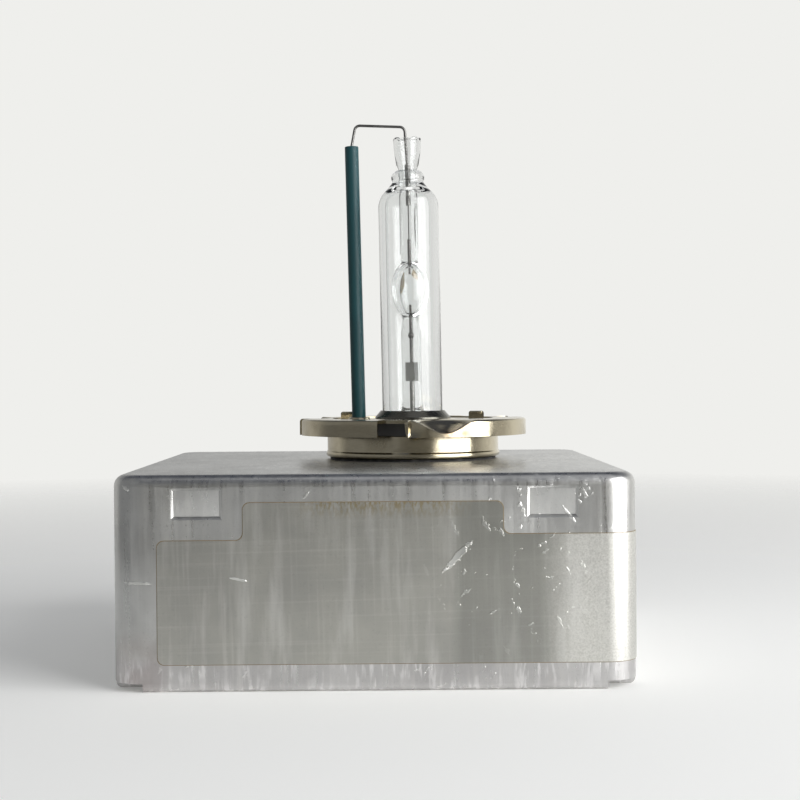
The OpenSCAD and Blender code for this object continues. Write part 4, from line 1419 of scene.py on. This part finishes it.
class LAMP_OT_insulating_tube(bpy.types.Operator):
    """Extrudes and fires the teal ceramic tube round the return wire"""

    bl_idname = "lamp.insulating_tube"
    bl_label = "Insulating Tube"

    def execute(self, context):
        low, high = node_box("insulating_tube")
        radius = (high.y - low.y) / 2
        foot = Vector((high.x - radius, 0, low.z))
        top = Vector((low.x + radius, 0, high.z))
        run = top - foot
        bm = lathe(
            [(0.3, 0), (radius, 0), (radius, run.length), (0.3, run.length)],
            [(1, 0.12), (2, 0.12), (3, 0.1)], 64,
        )
        turn = run.to_track_quat("Z", "Y").to_matrix().to_4x4()
        bmesh.ops.transform(bm, matrix=Matrix.Translation(foot) @ turn, verts=bm.verts)
        base = tuple(context.scene.lamp_finish.ceramic)
        material = fired_ceramic("fired_teal_ceramic", base, linear("#153A3F"))
        put(bm, "ceramic_tube", material, "teal_ceramic", "insulating_tube", crease=30)
        return {"FINISHED"}


# ---------- CAD nodes that keep their shape ----------


def dress(node, material):
    """Gives a CAD node one material in place of its own."""
    node.data.materials.clear()
    node.data.materials.append(material)


class LAMP_OT_inner_parts(bpy.types.Operator):
    """Finishes the insulators, seals, contacts and electronics, which keep their CAD shape"""

    bl_idname = "lamp.inner_parts"
    bl_label = "Inner Parts"

    def execute(self, context):
        brass = rolled_metal("stamped_brass", "#C9A75A", 0.28)
        ivory = moulded_plastic("moulded_ivory_plastic", "#DDD3B4", 0.5)
        ferrite = fired_ceramic("sintered_ferrite", linear("#35363A"), linear("#1E1F22"))
        winding = enamelled_copper("enamelled_copper_wire", "#B85A2A", 0.4)
        fine_winding = enamelled_copper("enamelled_fine_wire", "#C06A34", 0.12)
        epoxy = moulded_plastic("moulded_chip_epoxy", "#1B1B1D", 0.55, 0.15)
        red_seal = moulded_rubber("moulded_red_silicone", "#8E2A22")
        looks = {
            "cup_seal": moulded_rubber("moulded_black_rubber", "#161617"),
            "base_gasket": red_seal,
            "connector_seal": red_seal,
            "thermal_pad": moulded_rubber("soft_thermal_pad", "#A98C92"),
            "burner_socket": moulded_plastic("moulded_grey_plastic", "#4A4A4B", 0.5),
            "hv_contact": brass,
            "return_terminal": brass,
            "connector_pins": brass,
            "ground_spring": brass,
            "insulating_sheet": moulded_plastic("polyimide_film", "#B98A2E", 0.3, 1.5),
            "board_carrier": ivory,
            "igniter_bobbin": ivory,
            "ballast_board": solder_mask("green_solder_mask", "#1E5A34"),
            "igniter_tray": moulded_plastic("moulded_brown_plastic", "#5A3A22", 0.5),
            "igniter_core": ferrite,
            "converter_core": ferrite,
            "choke_core": ferrite,
            "igniter_secondary": fine_winding,
            "igniter_primary": winding,
            "converter_winding": winding,
            "choke_winding": winding,
            "converter_bobbin": moulded_plastic("moulded_black_plastic", "#1A1A1B", 0.5),
            "spark_gap": fired_ceramic("sintered_white_ceramic", linear("#E4E2DC"), linear("#C9C6BD")),
            "ignition_capacitor": moulded_plastic("dipped_red_epoxy", "#A83A26", 0.3),
            "output_capacitor": moulded_plastic("moulded_yellow_case", "#C79A2A", 0.35),
            "input_capacitor": moulded_plastic("printed_shrink_sleeve", "#1B2450", 0.3),
            "power_transistors": epoxy,
            "controller_chip": epoxy,
            "driver_chip": epoxy,
            "chip_resistors": epoxy,
            "rectifier_diodes": epoxy,
            "chip_capacitors": fired_ceramic("sintered_tan_ceramic", linear("#B99A74"), linear("#8E7350")),
        }
        for name, material in looks.items():
            dress(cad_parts[name], material)
        return {"FINISHED"}


# ---------- stage ----------


class LAMP_OT_stage(bpy.types.Operator):
    """Sets the pale floor, the soft studio light and the camera"""

    bl_idname = "lamp.stage"
    bl_label = "Stage"

    def execute(self, context):
        size = in_mm(context.scene.lamp_stage)
        self.lay_floor(CAD_BOX[0].z)
        self.light_room(context)
        self.softbox("key_softbox", Vector((400, -270, 110)), (0.46, 0.6), 4.3)
        self.softbox("top_softbox", Vector((120, -160, 620)), (0.5, 0.4), 0.25)
        self.aim_camera(context, size)
        context.scene.view_settings.view_transform = "Standard"
        return {"FINISHED"}

    def lay_floor(self, height):
        """A pale disc that fades into the room, so that it has no horizon."""
        bm = bmesh.new()
        bmesh.ops.create_circle(
            bm, cap_ends=True, segments=96, radius=0.95, matrix=Matrix.Translation((0, 0, height))
        )
        mesh = bpy.data.meshes.new("floor")
        bm.to_mesh(mesh)
        bm.free()
        floor = bpy.data.objects.new("floor", mesh)
        bpy.context.scene.collection.objects.link(floor)
        material, tree, shader, place = start(
            "pale_paper", linear("#F4F4F2"), 0.9,
            **{"Emission Color": linear("#F4F4F0"), "Emission Strength": 0.2}
        )
        away = add(tree, "ShaderNodeVectorMath", {0: place}, operation="LENGTH").outputs["Value"]
        solid = spread(tree, away, 0.11, 0.42, 1.0, 0.0)
        feed(shader, "Alpha", solid)
        mesh.materials.append(material)

    def light_room(self, context):
        """A pale room: bright behind the lamp, greyer towards the viewer, overhead and low on the left."""
        world = bpy.data.worlds.new("pale_room")
        context.scene.world = world
        world.use_nodes = True
        tree = world.node_tree
        way = add(tree, "ShaderNodeTexCoord").outputs["Generated"]
        axes = add(tree, "ShaderNodeSeparateXYZ", {0: way}).outputs
        ahead = spread(tree, axes["Y"], -0.1, 0.5)
        across = spread(tree, axes["X"], -0.22, 0.12)
        behind = tint(tree, across, linear("#C2C2C0"), linear("#FBFBF8"))
        room = tint(tree, ahead, linear("#73726E"), behind)
        ceiling = spread(tree, axes["Z"], 0.28, 0.7)
        room = tint(tree, ceiling, room, linear("#4C505B"))
        left = spread(tree, axes["X"], -0.1, -0.4)
        beside = spread(tree, axes["Y"], 0.45, 0.1)
        below = spread(tree, axes["Z"], 0.0, -0.08)
        low_left = tint(tree, below, linear("#8A8B8C"), linear("#16181A"))
        room = tint(tree, times(tree, left, beside), room, low_left)
        viewer = add(
            tree, "ShaderNodeVectorMath", {0: way, 1: (-0.08, -0.99, 0.05)}, operation="DOT_PRODUCT"
        ).outputs["Value"]
        near_viewer = spread(tree, viewer, 0.87, 0.95)
        level = spread(tree, axes["Z"], 0.06, -0.06)
        room = tint(tree, times(tree, near_viewer, level), room, linear("#2A2922"))
        # Seen directly or through glass, the room is plain pale paper all round.
        path = add(tree, "ShaderNodeLightPath").outputs
        through = tint(tree, path["Is Transmission Ray"], room, linear("#DEDEDB"))
        seen = tint(tree, path["Is Camera Ray"], through, linear("#EFEFEC"))
        tree.links.new(seen, tree.nodes["Background"].inputs["Color"])

    def softbox(self, name, place, size, watts):
        light = bpy.data.lights.new(name, "AREA")
        light.shape = "RECTANGLE"
        light.size, light.size_y = size
        light.energy = watts
        lamp = bpy.data.objects.new(name, light)
        lamp.location = place * MM
        lamp.rotation_euler = (-place).to_track_quat("-Z", "Y").to_euler()
        bpy.context.scene.collection.objects.link(lamp)

    def aim_camera(self, context, size):
        camera = bpy.data.objects.new("camera", bpy.data.cameras.new("camera"))
        camera.data.lens = size.focal_length
        camera.data.clip_start = 0.01
        look = (
            Matrix.Rotation(size.yaw, 4, "Z")
            @ Matrix.Rotation(math.pi / 2 - size.pitch, 4, "X")
            @ Matrix.Rotation(size.roll, 4, "Z")
        )
        place = Vector((size.camera_x, size.camera_y, size.camera_z)) * MM
        camera.matrix_world = Matrix.Translation(place) @ look
        context.scene.collection.objects.link(camera)
        context.scene.camera = camera


# ---------- add-on ----------

STEPS = (
    LAMP_OT_stage,
    LAMP_OT_housing_can,
    LAMP_OT_rating_label,
    LAMP_OT_base_plate,
    LAMP_OT_supply_socket,
    LAMP_OT_cap_ring,
    LAMP_OT_base_cup,
    LAMP_OT_burner_clamp,
    LAMP_OT_glass_jacket,
    LAMP_OT_quartz_vessel,
    LAMP_OT_inner_conductors,
    LAMP_OT_return_wire,
    LAMP_OT_insulating_tube,
    LAMP_OT_inner_parts,
)


class LAMP_PT_panel(bpy.types.Panel):
    """Lists the lamp's pieces and the stage"""

    bl_idname = "LAMP_PT_panel"
    bl_label = "Headlight Bulb"
    bl_space_type = "VIEW_3D"
    bl_region_type = "UI"
    bl_category = "Headlight Bulb"

    def draw(self, context):
        for group in GROUPS:
            box = self.layout.box()
            settings = getattr(context.scene, group)
            for name in settings.__annotations__:
                box.prop(settings, name)
        for step in STEPS:
            self.layout.operator(step.bl_idname)


GROUPS = {
    "lamp_housing": HousingSizes,
    "lamp_label": LabelSizes,
    "lamp_cap": CapSizes,
    "lamp_burner": BurnerSizes,
    "lamp_finish": Finishes,
    "lamp_stage": StageSizes,
}


def register():
    for cls in (*GROUPS.values(), *STEPS, LAMP_PT_panel):
        bpy.utils.register_class(cls)
    for name, group in GROUPS.items():
        setattr(bpy.types.Scene, name, PointerProperty(type=group))


def unregister():
    for name in GROUPS:
        delattr(bpy.types.Scene, name)
    for cls in reversed((*GROUPS.values(), *STEPS, LAMP_PT_panel)):
        bpy.utils.unregister_class(cls)


def main():
    register()
    for step in STEPS:
        category, name = step.bl_idname.split(".")
        getattr(getattr(bpy.ops, category), name)()


if __name__ == "__main__":
    main()
